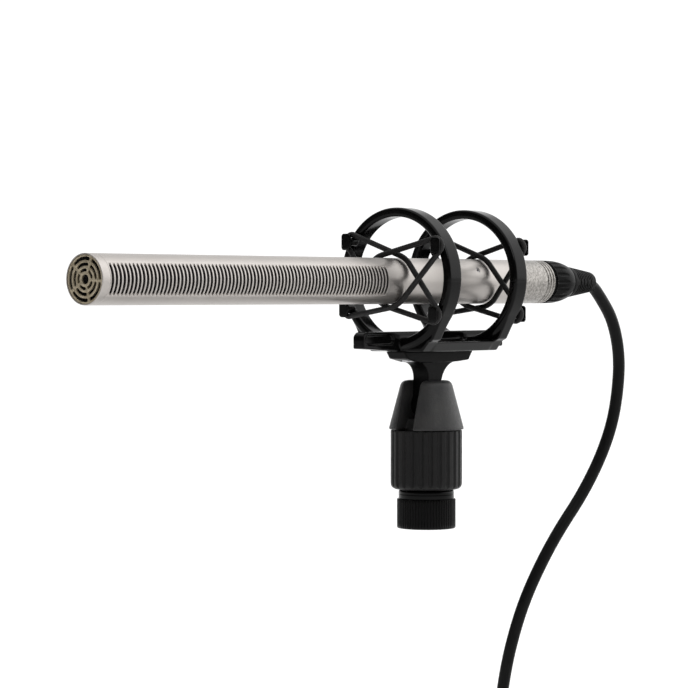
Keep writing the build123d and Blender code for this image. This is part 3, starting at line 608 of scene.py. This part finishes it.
def along_screw(s, u, v):
    """Across the tube's wall at the set screw: s is measured out from the tube's axis."""
    out = Vector((math.cos(SCREW_ANGLE), 0, math.sin(SCREW_ANGLE)))
    side = Vector((-math.sin(SCREW_ANGLE), 0, math.cos(SCREW_ANGLE)))
    place = out * s + side * v + Vector((0, MIC_FRONT + SCREW_AT + u, MIC_Z))
    return tuple(place * MM)


bore_outline = [(7.9, 0), (11, 0), (11, 1.25), (9.42, 1.25), (9.2, 1.02), (7.9, 1.02)]
screw_bore = turned("screw_bore", bore_outline, 32, along_screw)
placed("mic_tube_slotted", cut_out(slotted_tube(), screw_bore), "mic_tube", looks["satin_metal"], wall_look)


def hex_recess(s, r, angle):
    """The driver's hexagon inside the screw's head."""
    if r > 0.7:
        return r
    return r * math.cos(math.pi / 6) / math.cos((angle % (math.pi / 3)) - math.pi / 6)


screw_outline = rounded(
    [(6.5, 0, 0), (6.5, 1.0, 0), (9.1, 1.0, 0.12), (9.1, 0.62, 0.06), (8.1, 0.6, 0), (7.9, 0, 0)]
)
turned_piece("set_screw_hex", "set_screw", screw_outline, 36, along_screw, hex_recess)

rim_outline = rounded(
    [
        (0, GRILLE_R + 0.06, 0.06),
        (1.2, GRILLE_R + 0.05, 0),
        (1.2, MIC_BORE + 0.02, 0),
        (RIM_LENGTH, MIC_BORE + 0.02, 0),
        (RIM_LENGTH, MIC_R, 0.16),
        (0, MIC_R, 0.32),
    ]
)
turned_piece("front_rim_turned", "front_rim", divided(rim_outline, 1.2), 144, along_mic)


# ---------- front grille and the mesh behind it
def polygon_spline(data, points):
    """A closed flat outline on a curve."""
    spline = data.splines.new("POLY")
    spline.points.add(len(points) - 1)
    for place, (x, y) in zip(spline.points, points):
        place.co = (x * MM, y * MM, 0, 1)
    spline.use_cyclic_u = True


def arc_points(radius, start, end, steps, centre=(0, 0)):
    """Points on an arc, angles in degrees."""
    angles = [math.radians(start + (end - start) * k / steps) for k in range(steps + 1)]
    return [(centre[0] + radius * math.cos(a), centre[1] + radius * math.sin(a)) for a in angles]


def grille_mesh_piece():
    """A pierced plate: a hub hole and three rows of curved slots between five spokes."""
    spokes = 5
    spoke_width = 0.85
    first_spoke = -4.0
    edge = 0.1
    thickness = 0.9
    data = bpy.data.curves.new("grille_plate", "CURVE")
    data.dimensions = "2D"
    data.fill_mode = "BOTH"
    data.extrude = (thickness / 2 - edge) * MM
    data.bevel_depth = edge * MM
    data.bevel_resolution = 2
    data.offset = -edge * MM
    polygon_spline(data, arc_points(GRILLE_R, 0, 357.5, 143))
    polygon_spline(data, arc_points(1.8, 0, 350, 35))
    for inner, outer in ((2.85, 3.95), (4.85, 6.05), (6.95, 8.25)):
        row_r = (inner + outer) / 2
        end_r = (outer - inner) / 2
        gap = math.degrees(math.asin((spoke_width / 2 + end_r) / row_r))
        for spoke in range(spokes):
            start = first_spoke + spoke * 360 / spokes + gap
            end = first_spoke + (spoke + 1) * 360 / spokes - gap
            far = arc_points(row_r, end, end, 1)[0]
            near = arc_points(row_r, start, start, 1)[0]
            points = arc_points(outer, start, end, 22)
            points += arc_points(end_r, end, end + 180, 8, far)[1:-1]
            points += arc_points(inner, end, start, 18)
            points += arc_points(end_r, start + 180, start + 360, 8, near)[1:-1]
            polygon_spline(data, points)
    mesh = evaluated(loose("grille_plate", data))
    face_out = Matrix(((1, 0, 0), (0, 0, -1), (0, 1, 0))).to_4x4()
    mesh.transform(Matrix.Translation(along_mic(0.3 + thickness / 2, 0, 0)) @ face_out)
    tidied(mesh)
    return mesh


placed("front_grille_plate", grille_mesh_piece(), "front_grille", angle=40)


def sweep(name, path, section, closed=False):
    """A mesh that follows a path in metres; section(i) gives the (across, up) offsets of ring i in metres."""
    count = len(path)
    verts = []
    normal = None
    for i, here in enumerate(path):
        before = path[i - 1] if i or closed else path[0]
        after = path[(i + 1) % count] if i < count - 1 or closed else path[-1]
        along = (after - before).normalized()
        if normal is None:
            normal = along.orthogonal().normalized()
        normal = (normal - along * normal.dot(along)).normalized()
        across = along.cross(normal)
        verts += [here + normal * u + across * v for u, v in section(i)]
    sides = len(section(0))
    faces = bridged(count, sides, closed)
    if not closed:
        faces.append(tuple(reversed(range(sides))))
        faces.append(tuple(range((count - 1) * sides, count * sides)))
    mesh = bpy.data.meshes.new(name)
    mesh.from_pydata([tuple(v) for v in verts], [], faces)
    mesh.update()
    return mesh


def circle(radius, sides):
    """A circle's corners, in metres."""
    turn = 2 * math.pi / sides
    return [(radius * MM * math.cos(turn * i), radius * MM * math.sin(turn * i)) for i in range(sides)]


def joined(name, meshes):
    """One mesh from several."""
    work = bmesh.new()
    for mesh in meshes:
        work.from_mesh(mesh)
    result = bpy.data.meshes.new(name)
    work.to_mesh(result)
    work.free()
    return result


def woven_wires():
    """Two crossing sets of waved wires, trimmed to the tube's bore."""
    pitch = 0.62
    wire_r = 0.13
    reach = 8.75
    meshes = []
    count = int(reach / pitch)
    for way in (0, 1):
        for i in range(-count, count + 1):
            off = i * pitch
            half = math.sqrt(max(0.0, reach * reach - off * off))
            steps = max(4, int(half * 2 / pitch * 2))
            path = []
            for k in range(steps + 1):
                t = -half + 2 * half * k / steps
                lift = wire_r * math.cos(math.pi * (t / pitch + i + way))
                path.append(Vector(along_mic(1.47 + lift, t, off) if way else along_mic(1.47 + lift, off, t)))
            meshes.append(sweep("wire", path, lambda ring: circle(wire_r, 6)))
    return joined("grille_wires", meshes)


placed("grille_wire_mesh", woven_wires(), "grille_mesh", angle=60)


def liner_weave(s, r, angle):
    """Cloth relief on the liner's outside."""
    if r < 8.0:
        return r
    return r - 0.04 * (1 + math.cos(s * 2 * math.pi / 1.3) * math.cos(angle * 40)) / 2


liner_outline = divided([(2.0, 7.9), (163.2, 7.9), (163.2, 8.2), (2.0, 8.2)], 0.65)
liner_outline = [p for p in liner_outline if p[1] > 8.0 or p[0] in (2.0, 163.2)]
turned_piece("slot_liner_cloth", "slot_liner", liner_outline, 80, along_mic, liner_weave)


# ---------- plugs
def plug_shell_outline():
    """The socket plug's shell: a plain barrel, a shoulder, and three grooves by the collar."""
    corners = [(237.4, SHELL_BORE, 0.1), (237.4, 8.0, 0.3), (255.1, 8.0, 0.05), (255.1, PLUG_R, 0.35)]
    for groove in range(3):
        at = SHELL_END - 5.6 + 1.9 * groove
        corners += [
            (at, PLUG_R, 0.14),
            (at + 0.15, PLUG_R - 0.42, 0.1),
            (at + 0.75, PLUG_R - 0.42, 0.1),
            (at + 0.9, PLUG_R, 0.14),
        ]
    corners += [(SHELL_END, PLUG_R, 0.15), (SHELL_END, SHELL_BORE, 0.1)]
    return rounded(corners, 3)


def block(name, low, high):
    """A box between two corners in mm, for cutting with."""
    work = bmesh.new()
    bmesh.ops.create_cube(work, size=1)
    for vert in work.verts:
        for axis in range(3):
            vert.co[axis] = (low[axis] if vert.co[axis] < 0 else high[axis]) * MM
    mesh = bpy.data.meshes.new(name)
    work.to_mesh(mesh)
    work.free()
    return mesh


shell_mesh = turned("plug_shell_body", divided(plug_shell_outline(), 2.5), 120, along_mic)
latch_window = block(
    "latch_window", (-14, MIC_FRONT + 257.9, MIC_Z - 1.9), (-SHELL_BORE + 0.6, MIC_FRONT + 264.1, MIC_Z + 1.9)
)
placed("plug_shell_body", cut_out(shell_mesh, latch_window), "plug_shell")

FLUTES = 18
TEETH = 64
FLUTE_R = 1.3
GRIP_FLUTE_R = 1.15


def flute_floor(angle, count, centre_r, flute_r):
    """How far out the bottom of a row of round flutes is at an angle; infinite between them."""
    pitch_angle = 2 * math.pi / count
    off = (angle + pitch_angle / 2) % pitch_angle - pitch_angle / 2
    across = centre_r * math.sin(abs(off))
    if across >= flute_r:
        return math.inf
    return centre_r * math.cos(off) - math.sqrt(flute_r * flute_r - across * across)


def fluted(start, direction):
    """The boot collar's flutes, which run out smoothly, and the fine teeth beside the shell."""
    length = COLLAR_END - SHELL_END - 0.1

    def dent(s, r, angle):
        at = (s - start) * direction
        if r < 7.0 or at < 0:
            return r
        floor = flute_floor(angle, FLUTES, PLUG_R + 0.75, FLUTE_R)
        fade = min(1.0, max(0.0, (at - 2.0) / 0.8)) * min(1.0, max(0.0, (0.86 * length - at) / 1.8))
        depth = max(0.0, r - floor) * fade
        if 0.2 < at < 1.3:
            depth += 0.14 * (1 + math.cos(angle * TEETH))
        return r - depth

    return dent


def collar_outline(start, direction):
    """The boot collar's outline, from its hidden spigot to its rounded cable end."""
    length = COLLAR_END - SHELL_END - 0.1
    corners = [
        (-7.0, 6.5, 0.1),
        (-7.0, SHELL_BORE - 0.05, 0.3),
        (0, SHELL_BORE - 0.05, 0),
        (0, PLUG_R, 0.2),
        (1.4, PLUG_R, 0.1),
        (1.6, PLUG_R - 0.25, 0.1),
        (1.9, PLUG_R - 0.02, 0.1),
        (0.52 * length, PLUG_R - 0.15, 2),
        (0.75 * length, PLUG_R - 0.75, 2),
        (0.93 * length, PLUG_R - 1.6, 1),
        (length, PLUG_R - 2.1, 0.5),
        (length, 6.3, 0.1),
    ]
    outline = divided(rounded(corners, 4), 0.45)
    return [(start + direction * s, r) for s, r in outline]


def ribbed(start, direction):
    """The sleeve's ribs: each groove is bridged at two places, turned from one groove to the next."""

    def dent(s, r, angle):
        at = (s - start) * direction
        if r < 3.9 or not 2.6 < at < 16.2:
            return r
        rib = (at - 2.75) / 1.6
        whole = int(rib)
        inside = rib - whole
        bridge = math.cos(2 * (angle - math.pi / 2 * (whole % 2)))
        if inside < 0.12 or inside > 0.56 or bridge > 0.93:
            return r
        edge = min(1.0, (0.93 - bridge) / 0.06)
        return r - 0.62 * edge

    return dent


def relief_outline(start, direction):
    """The tapering sleeve round the cable."""
    length = 20.0
    bore = CORD_R + 0.05
    corners = [
        (-12.0, bore, 0),
        (-12.0, 6.2, 0.2),
        (-0.4, 6.2, 0.1),
        (-0.4, 6.9, 0.2),
        (0.3, 7.1, 0.3),
        (length - 2.0, 4.76, 1),
        (length - 0.5, 4.5, 0.6),
        (length, 4.0, 0.3),
        (length, bore + 0.85, 0.2),
        (length - 4.5, bore, 0.5),
    ]

    def longest(here, there):
        """Fine steps along the ribbed taper only."""
        return 0.1 if here[1] > 4.3 and there[1] > 4.3 and there[0] > here[0] >= 0 else 1.5

    return [(start + direction * s, r) for s, r in divided(rounded(corners, 4), longest)]


for node, start, direction, place in (
    ("boot_collar", SHELL_END + 0.1, 1, along_mic),
    ("far_collar", FAR_COLLAR_END - 0.1, -1, along_far_plug),
):
    outline = collar_outline(start, direction)
    turned_piece(f"{node}_fluted", node, outline, 288, place, fluted(start, direction))
for node, start, direction, place in (
    ("strain_relief", RELIEF_START, 1, along_mic),
    ("far_relief", FAR_RELIEF_END, -1, along_far_plug),
):
    outline = relief_outline(start, direction)
    turned_piece(f"{node}_ribbed", node, outline, 96, place, ribbed(start, direction))

far_shell_corners = [
    (FAR_COLLAR_END, SHELL_BORE, 0.1),
    (FAR_COLLAR_END, PLUG_R, 0.25),
    (FAR_SHELL_END - 23, PLUG_R, 0),
    (FAR_SHELL_END - 22.8, PLUG_R - 0.25, 0.1),
    (FAR_SHELL_END - 22.2, PLUG_R - 0.25, 0.1),
    (FAR_SHELL_END - 22.0, PLUG_R, 0),
    (FAR_SHELL_END, PLUG_R, 0.4),
    (FAR_SHELL_END, SOCKET_R, 0.4),
    (FAR_SHELL_END - 17, SOCKET_R, 0.2),
    (FAR_SHELL_END - 17, SHELL_BORE, 0),
]
turned_piece("far_shell_body", "far_shell", divided(rounded(far_shell_corners), 3.0), 120, along_far_plug)
machined("plug_latch_key", "plug_latch", 0.12)
machined("far_insert_face", "far_insert", 0.12)
machined("far_pins_round", "far_pins", 0.2)
machined("foot_screw_heads", "foot_screws", 0.15)

# ---------- shock mount, foot and swivel
moulded("front_arch_moulded", "front_arch", 0.3, 5, lap=-0.4)
moulded("rear_arch_moulded", "rear_arch", 0.3, 5, lap=-0.4)
moulded("cradle_base_moulded", "cradle_base", 0.34, 7, lap=0.4)
moulded("foot_moulded", "foot", 0.3, 3, looks["foot_black"])
moulded("swivel_head_moulded", "swivel_head", 0.3, 14)


def collar_flutes(s, r, angle):
    """Grip grooves, run out at the rounded bottom edge."""
    if r < NUT_R + 0.5 or s < COLLAR_BOTTOM + 0.3:
        return r
    return min(r, flute_floor(angle, COLLAR_FLUTES, COLLAR_R + 0.55, GRIP_FLUTE_R))


collar_corners = [
    (COLLAR_BOTTOM, STEM_R + 0.3, 0.2),
    (20.3, STEM_R + 0.3, 0),
    (20.3, NUT_R, 0),
    (COLLAR_TOP, NUT_R, 0.2),
    (COLLAR_TOP, COLLAR_R, 0.4),
    (COLLAR_BOTTOM + 1.9, COLLAR_R, 1.2),
    (COLLAR_BOTTOM + 0.7, COLLAR_R - 0.55, 0.6),
    (COLLAR_BOTTOM, COLLAR_R - 1.9, 0.6),
]
grip_outline = divided(rounded(collar_corners, 5), 1.2)
collar_mesh = turned("locking_collar_grip", grip_outline, COLLAR_FLUTES * 20, along_stand, collar_flutes)
placed("locking_collar_grip", collar_mesh, "locking_collar", looks["collar_black"], angle=40)

neck_corners = [
    (ADAPTER_HEIGHT, 8.5, 0),
    (15.9, 8.5, 0.1),
    (15.9, NECK_R, 0.7),
    (14.3, NECK_R, 0),
    (14.15, NECK_R - 0.15, 0),
    (14.0, NECK_R, 0),
    (ADAPTER_HEIGHT, NECK_R, 0.5),
]
turned_piece("neck_ring_turned", "neck_ring", rounded(neck_corners, 6), 144, along_stand)


def knurl(s, r, angle):
    """Straight knurling that opens at the top edge, and the thread inside."""
    if r > ADAPTER_R - 0.7 and s > 0.8:
        wave = (angle * KNURL_TEETH / (2 * math.pi)) % 1.0
        groove = max(0.0, 1 - abs(wave - 0.5) / 0.3)
        return r - 0.38 * min(1.0, groove * 1.6)
    if r < THREAD_R + 0.1 and 0.4 < s < THREAD_DEPTH - 0.3:
        turn = (s / 0.94 - angle / (2 * math.pi)) % 1.0
        return r + 0.42 * abs(turn - 0.5) * 2
    return r


adapter_corners = [
    (0, THREAD_R, 0.3),
    (THREAD_DEPTH, THREAD_R, 0),
    (THREAD_DEPTH, 0, 0),
    (14.2, 0, 0),
    (14.2, 5.0, 0),
    (16.0, 5.0, 0),
    (16.0, 8.5, 0),
    (ADAPTER_HEIGHT, 8.5, 0),
    (ADAPTER_HEIGHT, ADAPTER_R, 0.35),
    (0, ADAPTER_R, 0.6),
]


def adapter_step(here, there):
    """Fine steps along the thread only."""
    highest = max(here[1], there[1])
    return 0.16 if highest < THREAD_R + 0.35 and min(here[1], there[1]) > 5 else 1.5


adapter_outline = divided(rounded(adapter_corners, 3), adapter_step)
turned_piece(
    "stand_adapter_knurled", "stand_adapter", adapter_outline, KNURL_TEETH * 8, along_stand, knurl, angle=30
)


# ---------- elastic loops
def crossing(line_1, line_2):
    """Where two lines cross, each given as (normal, distance from the origin)."""
    (a, b), p = line_1
    (c, d), q = line_2
    area = a * d - b * c
    return Vector(((p * d - b * q) / area, (a * q - p * c) / area))


def tangent_line(centre_a, r_a, centre_b, r_b):
    """The outer tangent from circle a to circle b as (normal, distance from the origin)."""
    span = Vector(centre_b) - Vector(centre_a)
    along = (r_a - r_b) / span.length
    across = math.sqrt(1 - along * along)
    normal = Vector((along * span.x + across * span.y, along * span.y - across * span.x)) / span.length
    return tuple(normal), normal.dot(Vector(centre_a)) + r_a


def filleted_ring(corners, radii, step):
    """Points along a closed path of straight runs with rounded corners."""
    path = []
    count = len(corners)
    for i, here in enumerate(corners):
        to_last = (corners[i - 1] - here).normalized()
        to_next = (corners[(i + 1) % count] - here).normalized()
        angle = to_last.angle(to_next)
        reach = radii[i] / math.tan(angle / 2)
        centre = here + (to_last + to_next).normalized() * radii[i] / math.sin(angle / 2)
        start = here + to_last * reach - centre
        end = here + to_next * reach - centre
        turn = start.angle(end)
        parts = max(4, math.ceil(turn * radii[i] / step))
        for k in range(parts + 1):
            w = k / parts
            swung = start * math.sin((1 - w) * turn) + end * math.sin(w * turn)
            path.append(centre + swung / math.sin(turn))
    spaced = []
    for i, here in enumerate(path):
        there = path[(i + 1) % len(path)]
        parts = max(1, math.ceil((there - here).length / step))
        for k in range(parts):
            spaced.append(here.lerp(there, k / parts))
    return [p * MM for p in spaced]


def elastic_loop(name, node, ring_y, towards, at_tube, side):
    """One braided loop round two opposite hooks and the tube."""
    face_y = ring_y + RING_WIDTH if towards > 0 else ring_y
    hook_angle = math.radians(HOOK_ANGLE_A if side > 0 else HOOK_ANGLE_B)
    diagonal = Vector((-side * math.cos(hook_angle), 0, math.sin(hook_angle)))
    square = Vector((0, 1, 0)).cross(diagonal)
    tube_r = MIC_R + 0.35 + LOOP_R
    drop = Vector((0, 0, MIC_Z - RING_Z))
    tube = (drop.dot(diagonal), drop.dot(square))
    first, last = (HOOK_R, 0), (-HOOK_R, 0)
    strands = [
        tangent_line(first, HOOK_WRAP, tube, tube_r),
        tangent_line(tube, tube_r, last, HOOK_WRAP),
        tangent_line(last, HOOK_WRAP, tube, tube_r),
        tangent_line(tube, tube_r, first, HOOK_WRAP),
    ]
    last_end = ((-1, 0), HOOK_R + HOOK_WRAP)
    first_end = ((1, 0), HOOK_R + HOOK_WRAP)
    bend_r = HOOK_WRAP - 0.25
    flat = [
        (crossing(strands[0], strands[1]), at_tube, tube_r),
        (crossing(strands[1], last_end), LOOP_AT_HOOK, bend_r),
        (crossing(strands[2], last_end), LOOP_AT_HOOK, bend_r),
        (crossing(strands[2], strands[3]), at_tube, tube_r),
        (crossing(strands[3], first_end), LOOP_AT_HOOK, bend_r),
        (crossing(strands[0], first_end), LOOP_AT_HOOK, bend_r),
    ]
    corners = []
    for place, off, radius in flat:
        corners.append(diagonal * place.x + square * place.y + Vector((0, face_y + towards * off, RING_Z)))
    path = filleted_ring(corners, [radius for place, off, radius in flat], 0.3)
    sides = 24
    strands_round = 8

    def section(ring):
        points = []
        for k in range(sides):
            angle = 2 * math.pi * k / sides
            phase = strands_round * angle / 2
            weave = math.cos(phase + ring * 0.9) * math.cos(phase - ring * 0.9)
            radius = (LOOP_R - 0.09 + 0.09 * abs(weave)) * MM
            points.append((radius * math.cos(angle), radius * math.sin(angle)))
        return points

    placed(name, sweep(name, path, section, closed=True), node, angle=70)


for ring_name, ring_y, towards in (("front", FRONT_RING_Y, -1), ("rear", REAR_RING_Y, 1)):
    elastic_loop(f"{ring_name}_elastic_a", f"{ring_name}_loop_a", ring_y, towards, LOOPS_AT_TUBE[0], 1)
    elastic_loop(f"{ring_name}_elastic_b", f"{ring_name}_loop_b", ring_y, towards, LOOPS_AT_TUBE[1], -1)

# ---------- the lead
LEAD_ROUTE = [
    (0, 110.6, 103.1),
    (0, 118.9, 103.1),
    (0, 127.6, 95.9),
    (0, 137.4, 85.6),
    (-0.4, 143.2, 70),
    (-1.6, 143.8, 53.9),
    (-3.8, 142.4, 37.8),
    (-7, 137, 21.6),
    (-11, 128.1, 5.2),
    (-15.5, 116.6, -10.2),
    (-20, 107.8, -26.3),
    (-25, 101.3, -44.4),
    (-30.5, 98.5, -66.3),
    (-35.5, 99.5, -88),
    (-40, 103.5, -109),
    (-44, 108, -128.5),
    (-47, 108.5, -145),
    (-48.3, 101, -157),
    (-48.5, 88.5, -162.1),
    (-48.6, 75, -162.25),
]
TAIL_ROUTE = [
    (-48.5, 62, -145.75),
    (-46.8, 48, -147),
    (-37.5, 34.5, -152.5),
    (-17, 24.5, -159.5),
    (5, 24.5, -162.2),
    (25, 31.5, -162.2),
    (39, 44.5, -160),
    (45, 57.5, -156.5),
    (45, 68, -155.5),
    (45, 78, -155.5),
]
COIL_CENTRE = (-10.0, 72.0)
COIL_R = 33.0
COIL_COLUMNS = 3
COIL_LAYERS = 4
TURN_POINTS = 14


def coil_points():
    """Points of the put-away turns: out and in along each layer, one layer on the next."""

    def bearing(point):
        return math.atan2(point[1] - COIL_CENTRE[1], point[0] - COIL_CENTRE[0]) % (2 * math.pi)

    start = bearing(LEAD_ROUTE[-1])
    end = bearing(TAIL_ROUTE[0])
    turns = COIL_COLUMNS * COIL_LAYERS
    sweep_angle = 2 * math.pi * turns + (end - start)
    places = []
    for layer in range(COIL_LAYERS):
        columns = range(COIL_COLUMNS)
        if layer % 2 == 0:
            columns = reversed(columns)
        for column in columns:
            radius = COIL_R + (column - (COIL_COLUMNS - 1) / 2) * 2 * CORD_R
            places.append((radius, GROUND + CORD_R + layer * 2 * CORD_R))
    places.append(places[-1])
    count = TURN_POINTS * turns
    points = []
    for i in range(1, count):
        turn = turns * i / count
        whole = int(turn)
        part = turn - whole
        mix = max(0.0, (part - 0.82) / 0.18)
        mix = mix * mix * (3 - 2 * mix)
        radius = places[whole][0] * (1 - mix) + places[whole + 1][0] * mix
        height = places[whole][1] * (1 - mix) + places[whole + 1][1] * mix
        angle = start + sweep_angle * i / count
        grow = 1 / math.cos(sweep_angle / count / 2)
        x = COIL_CENTRE[0] + radius * grow * math.cos(angle)
        y = COIL_CENTRE[1] + radius * grow * math.sin(angle)
        points.append((x, y, height))
    return points


def spline_path(points):
    """Points in metres, in order, along an open quadratic NURBS curve given by its control points in mm."""
    data = bpy.data.curves.new("route", "CURVE")
    data.dimensions = "3D"
    spline = data.splines.new("NURBS")
    spline.points.add(len(points) - 1)
    for place, (x, y, z) in zip(spline.points, points):
        place.co = (x * MM, y * MM, z * MM, 1.0)
    spline.order_u = 3
    spline.use_endpoint_u = True
    data.resolution_u = 8
    mesh = evaluated(loose("route", data))
    path = [vertex.co.copy() for vertex in mesh.vertices]
    bpy.data.meshes.remove(mesh)
    return path


lead_path = spline_path(LEAD_ROUTE + coil_points() + TAIL_ROUTE)
lead_mesh = sweep("microphone_lead", lead_path, lambda ring: circle(CORD_R, 20))
smoothed(lead_mesh, 60)
lead_mesh.materials.append(looks["cable_rubber"])
lead = loose("microphone_lead", lead_mesh)
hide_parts("cable_lead", "cable_coil", "cable_tail")


def coil_strap():
    """A hook-and-loop strap closed round the coil."""
    half_x = COIL_COLUMNS * CORD_R + 0.5 + 0.4
    high = COIL_LAYERS * 2 * CORD_R
    middle = (COIL_CENTRE[1] + COIL_R, GROUND + high / 2)
    half_z = high / 2 + 0.4
    corner = 3.1
    places = []
    for way_y, way_z, start in ((1, 1, 0), (-1, 1, 90), (-1, -1, 180), (1, -1, 270)):
        centre = (middle[0] + way_y * (half_x - corner), middle[1] + way_z * (half_z - corner))
        places += arc_points(corner, start, start + 90, 8, centre)
    ring = divided(places, 1.0)
    wide = 12
    verts = []
    count = len(ring)
    for i, (y, z) in enumerate(ring):
        y0, z0 = ring[i - 1]
        y1, z1 = ring[(i + 1) % count]
        out = Vector((z1 - z0, -(y1 - y0))).normalized()
        for layer in (-0.38, 0.38):
            for k in range(wide + 1):
                x = COIL_CENTRE[0] - 5 + 10 * k / wide
                edge = 0.12 if k in (0, wide) else 0.0
                fuzz = 0.05 * noise(Vector((x * 2.3, y * 2.1, z * 2.2)))
                off = (layer - math.copysign(edge, layer)) + (fuzz if layer > 0 else 0)
                verts.append((x * MM, (y + out.x * off) * MM, (z + out.y * off) * MM))
    faces = []
    row = 2 * (wide + 1)
    for i in range(count):
        a, b = i * row, ((i + 1) % count) * row
        for k in range(wide):
            faces.append((a + k, a + k + 1, b + k + 1, b + k))
            faces.append((a + wide + 1 + k, b + wide + 1 + k, b + wide + 2 + k, a + wide + 2 + k))
        faces.append((a, b, b + wide + 1, a + wide + 1))
        faces.append((a + wide, a + 2 * wide + 1, b + 2 * wide + 1, b + wide))
    mesh = bpy.data.meshes.new("coil_strap")
    mesh.from_pydata(verts, [], faces)
    tidied(mesh)
    return mesh


placed("coil_strap", coil_strap(), "coil_tie", angle=60)

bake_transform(lead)

for row in rows.values():
    mesh = nodes[row["node"]].data
    mesh.materials.clear()
    mesh.materials.append(looks[row["material_slot"]])

# ---------- stage and light
floor_mesh = bpy.data.meshes.new("floor")
grid = bmesh.new()
bmesh.ops.create_grid(grid, x_segments=1, y_segments=1, size=30.0)
grid.to_mesh(floor_mesh)
grid.free()
floor = bpy.data.objects.new("floor", floor_mesh)
floor.location.z = GROUND * MM - 0.0002
scene.collection.objects.link(floor)
paint = Surface("floor_paint", (0.93, 0.93, 0.93), 0.0, 0.9, 0.0)
paint.tones(paint.speckle(2, 2), (0.925, 0.925, 0.925), (0.935, 0.935, 0.935))
floor_mesh.materials.append(paint.material)


def studio_world():
    """A white sweep behind the object, a tall soft panel to its right and a dim room on the near side."""
    world = bpy.data.worlds.new("studio")
    scene.world = world
    world.use_nodes = True
    tree = world.node_tree
    background = tree.nodes["Background"]
    place = tree.nodes.new("ShaderNodeTexCoord").outputs["Generated"]

    def lobe(direction, start, end):
        """0 away from a direction and 1 near it; start and end are angles in degrees."""
        dot = tree.nodes.new("ShaderNodeVectorMath")
        dot.operation = "DOT_PRODUCT"
        tree.links.new(place, dot.inputs[0])
        dot.inputs[1].default_value = Vector(direction).normalized()
        ramp = tree.nodes.new("ShaderNodeMapRange")
        ramp.interpolation_type = "SMOOTHSTEP"
        ramp.inputs["From Min"].default_value = math.cos(math.radians(start))
        ramp.inputs["From Max"].default_value = math.cos(math.radians(end))
        tree.links.new(dot.outputs["Value"], ramp.inputs["Value"])
        return ramp.outputs["Result"]

    def combined(operation, one, other):
        node = tree.nodes.new("ShaderNodeMath")
        node.operation = operation
        tree.links.new(one, node.inputs[0])
        if isinstance(other, float):
            node.inputs[1].default_value = other
        else:
            tree.links.new(other, node.inputs[1])
        return node.outputs["Value"]

    total = combined("MULTIPLY", lobe((-0.6459, 0.7634, 0.0), 60, 20), 1.0)
    total = combined("ADD", total, 0.12)
    for direction, start, end, strength in (
        ((0.46, 0.77, 0.32), 52, 8, 1.95),
        ((0, 0, 1), 60, 20, 1.6),
    ):
        total = combined("ADD", total, combined("MULTIPLY", lobe(direction, start, end), strength))
    tree.links.new(total, background.inputs["Strength"])
    background.inputs["Color"].default_value = (1, 1, 1, 1)


studio_world()

soft_light = bpy.data.lights.new("key", "AREA")
soft_light.shape = "RECTANGLE"
soft_light.size = soft_light.size_y = 0.6
soft_light.energy = 7
lamp = bpy.data.objects.new("key", soft_light)
lamp.location = (1.3, -0.3, 1.1)
aim = Vector((0, 0, 0.08)) - lamp.location
lamp.rotation_euler = aim.to_track_quat("-Z", "Y").to_euler()
scene.collection.objects.link(lamp)
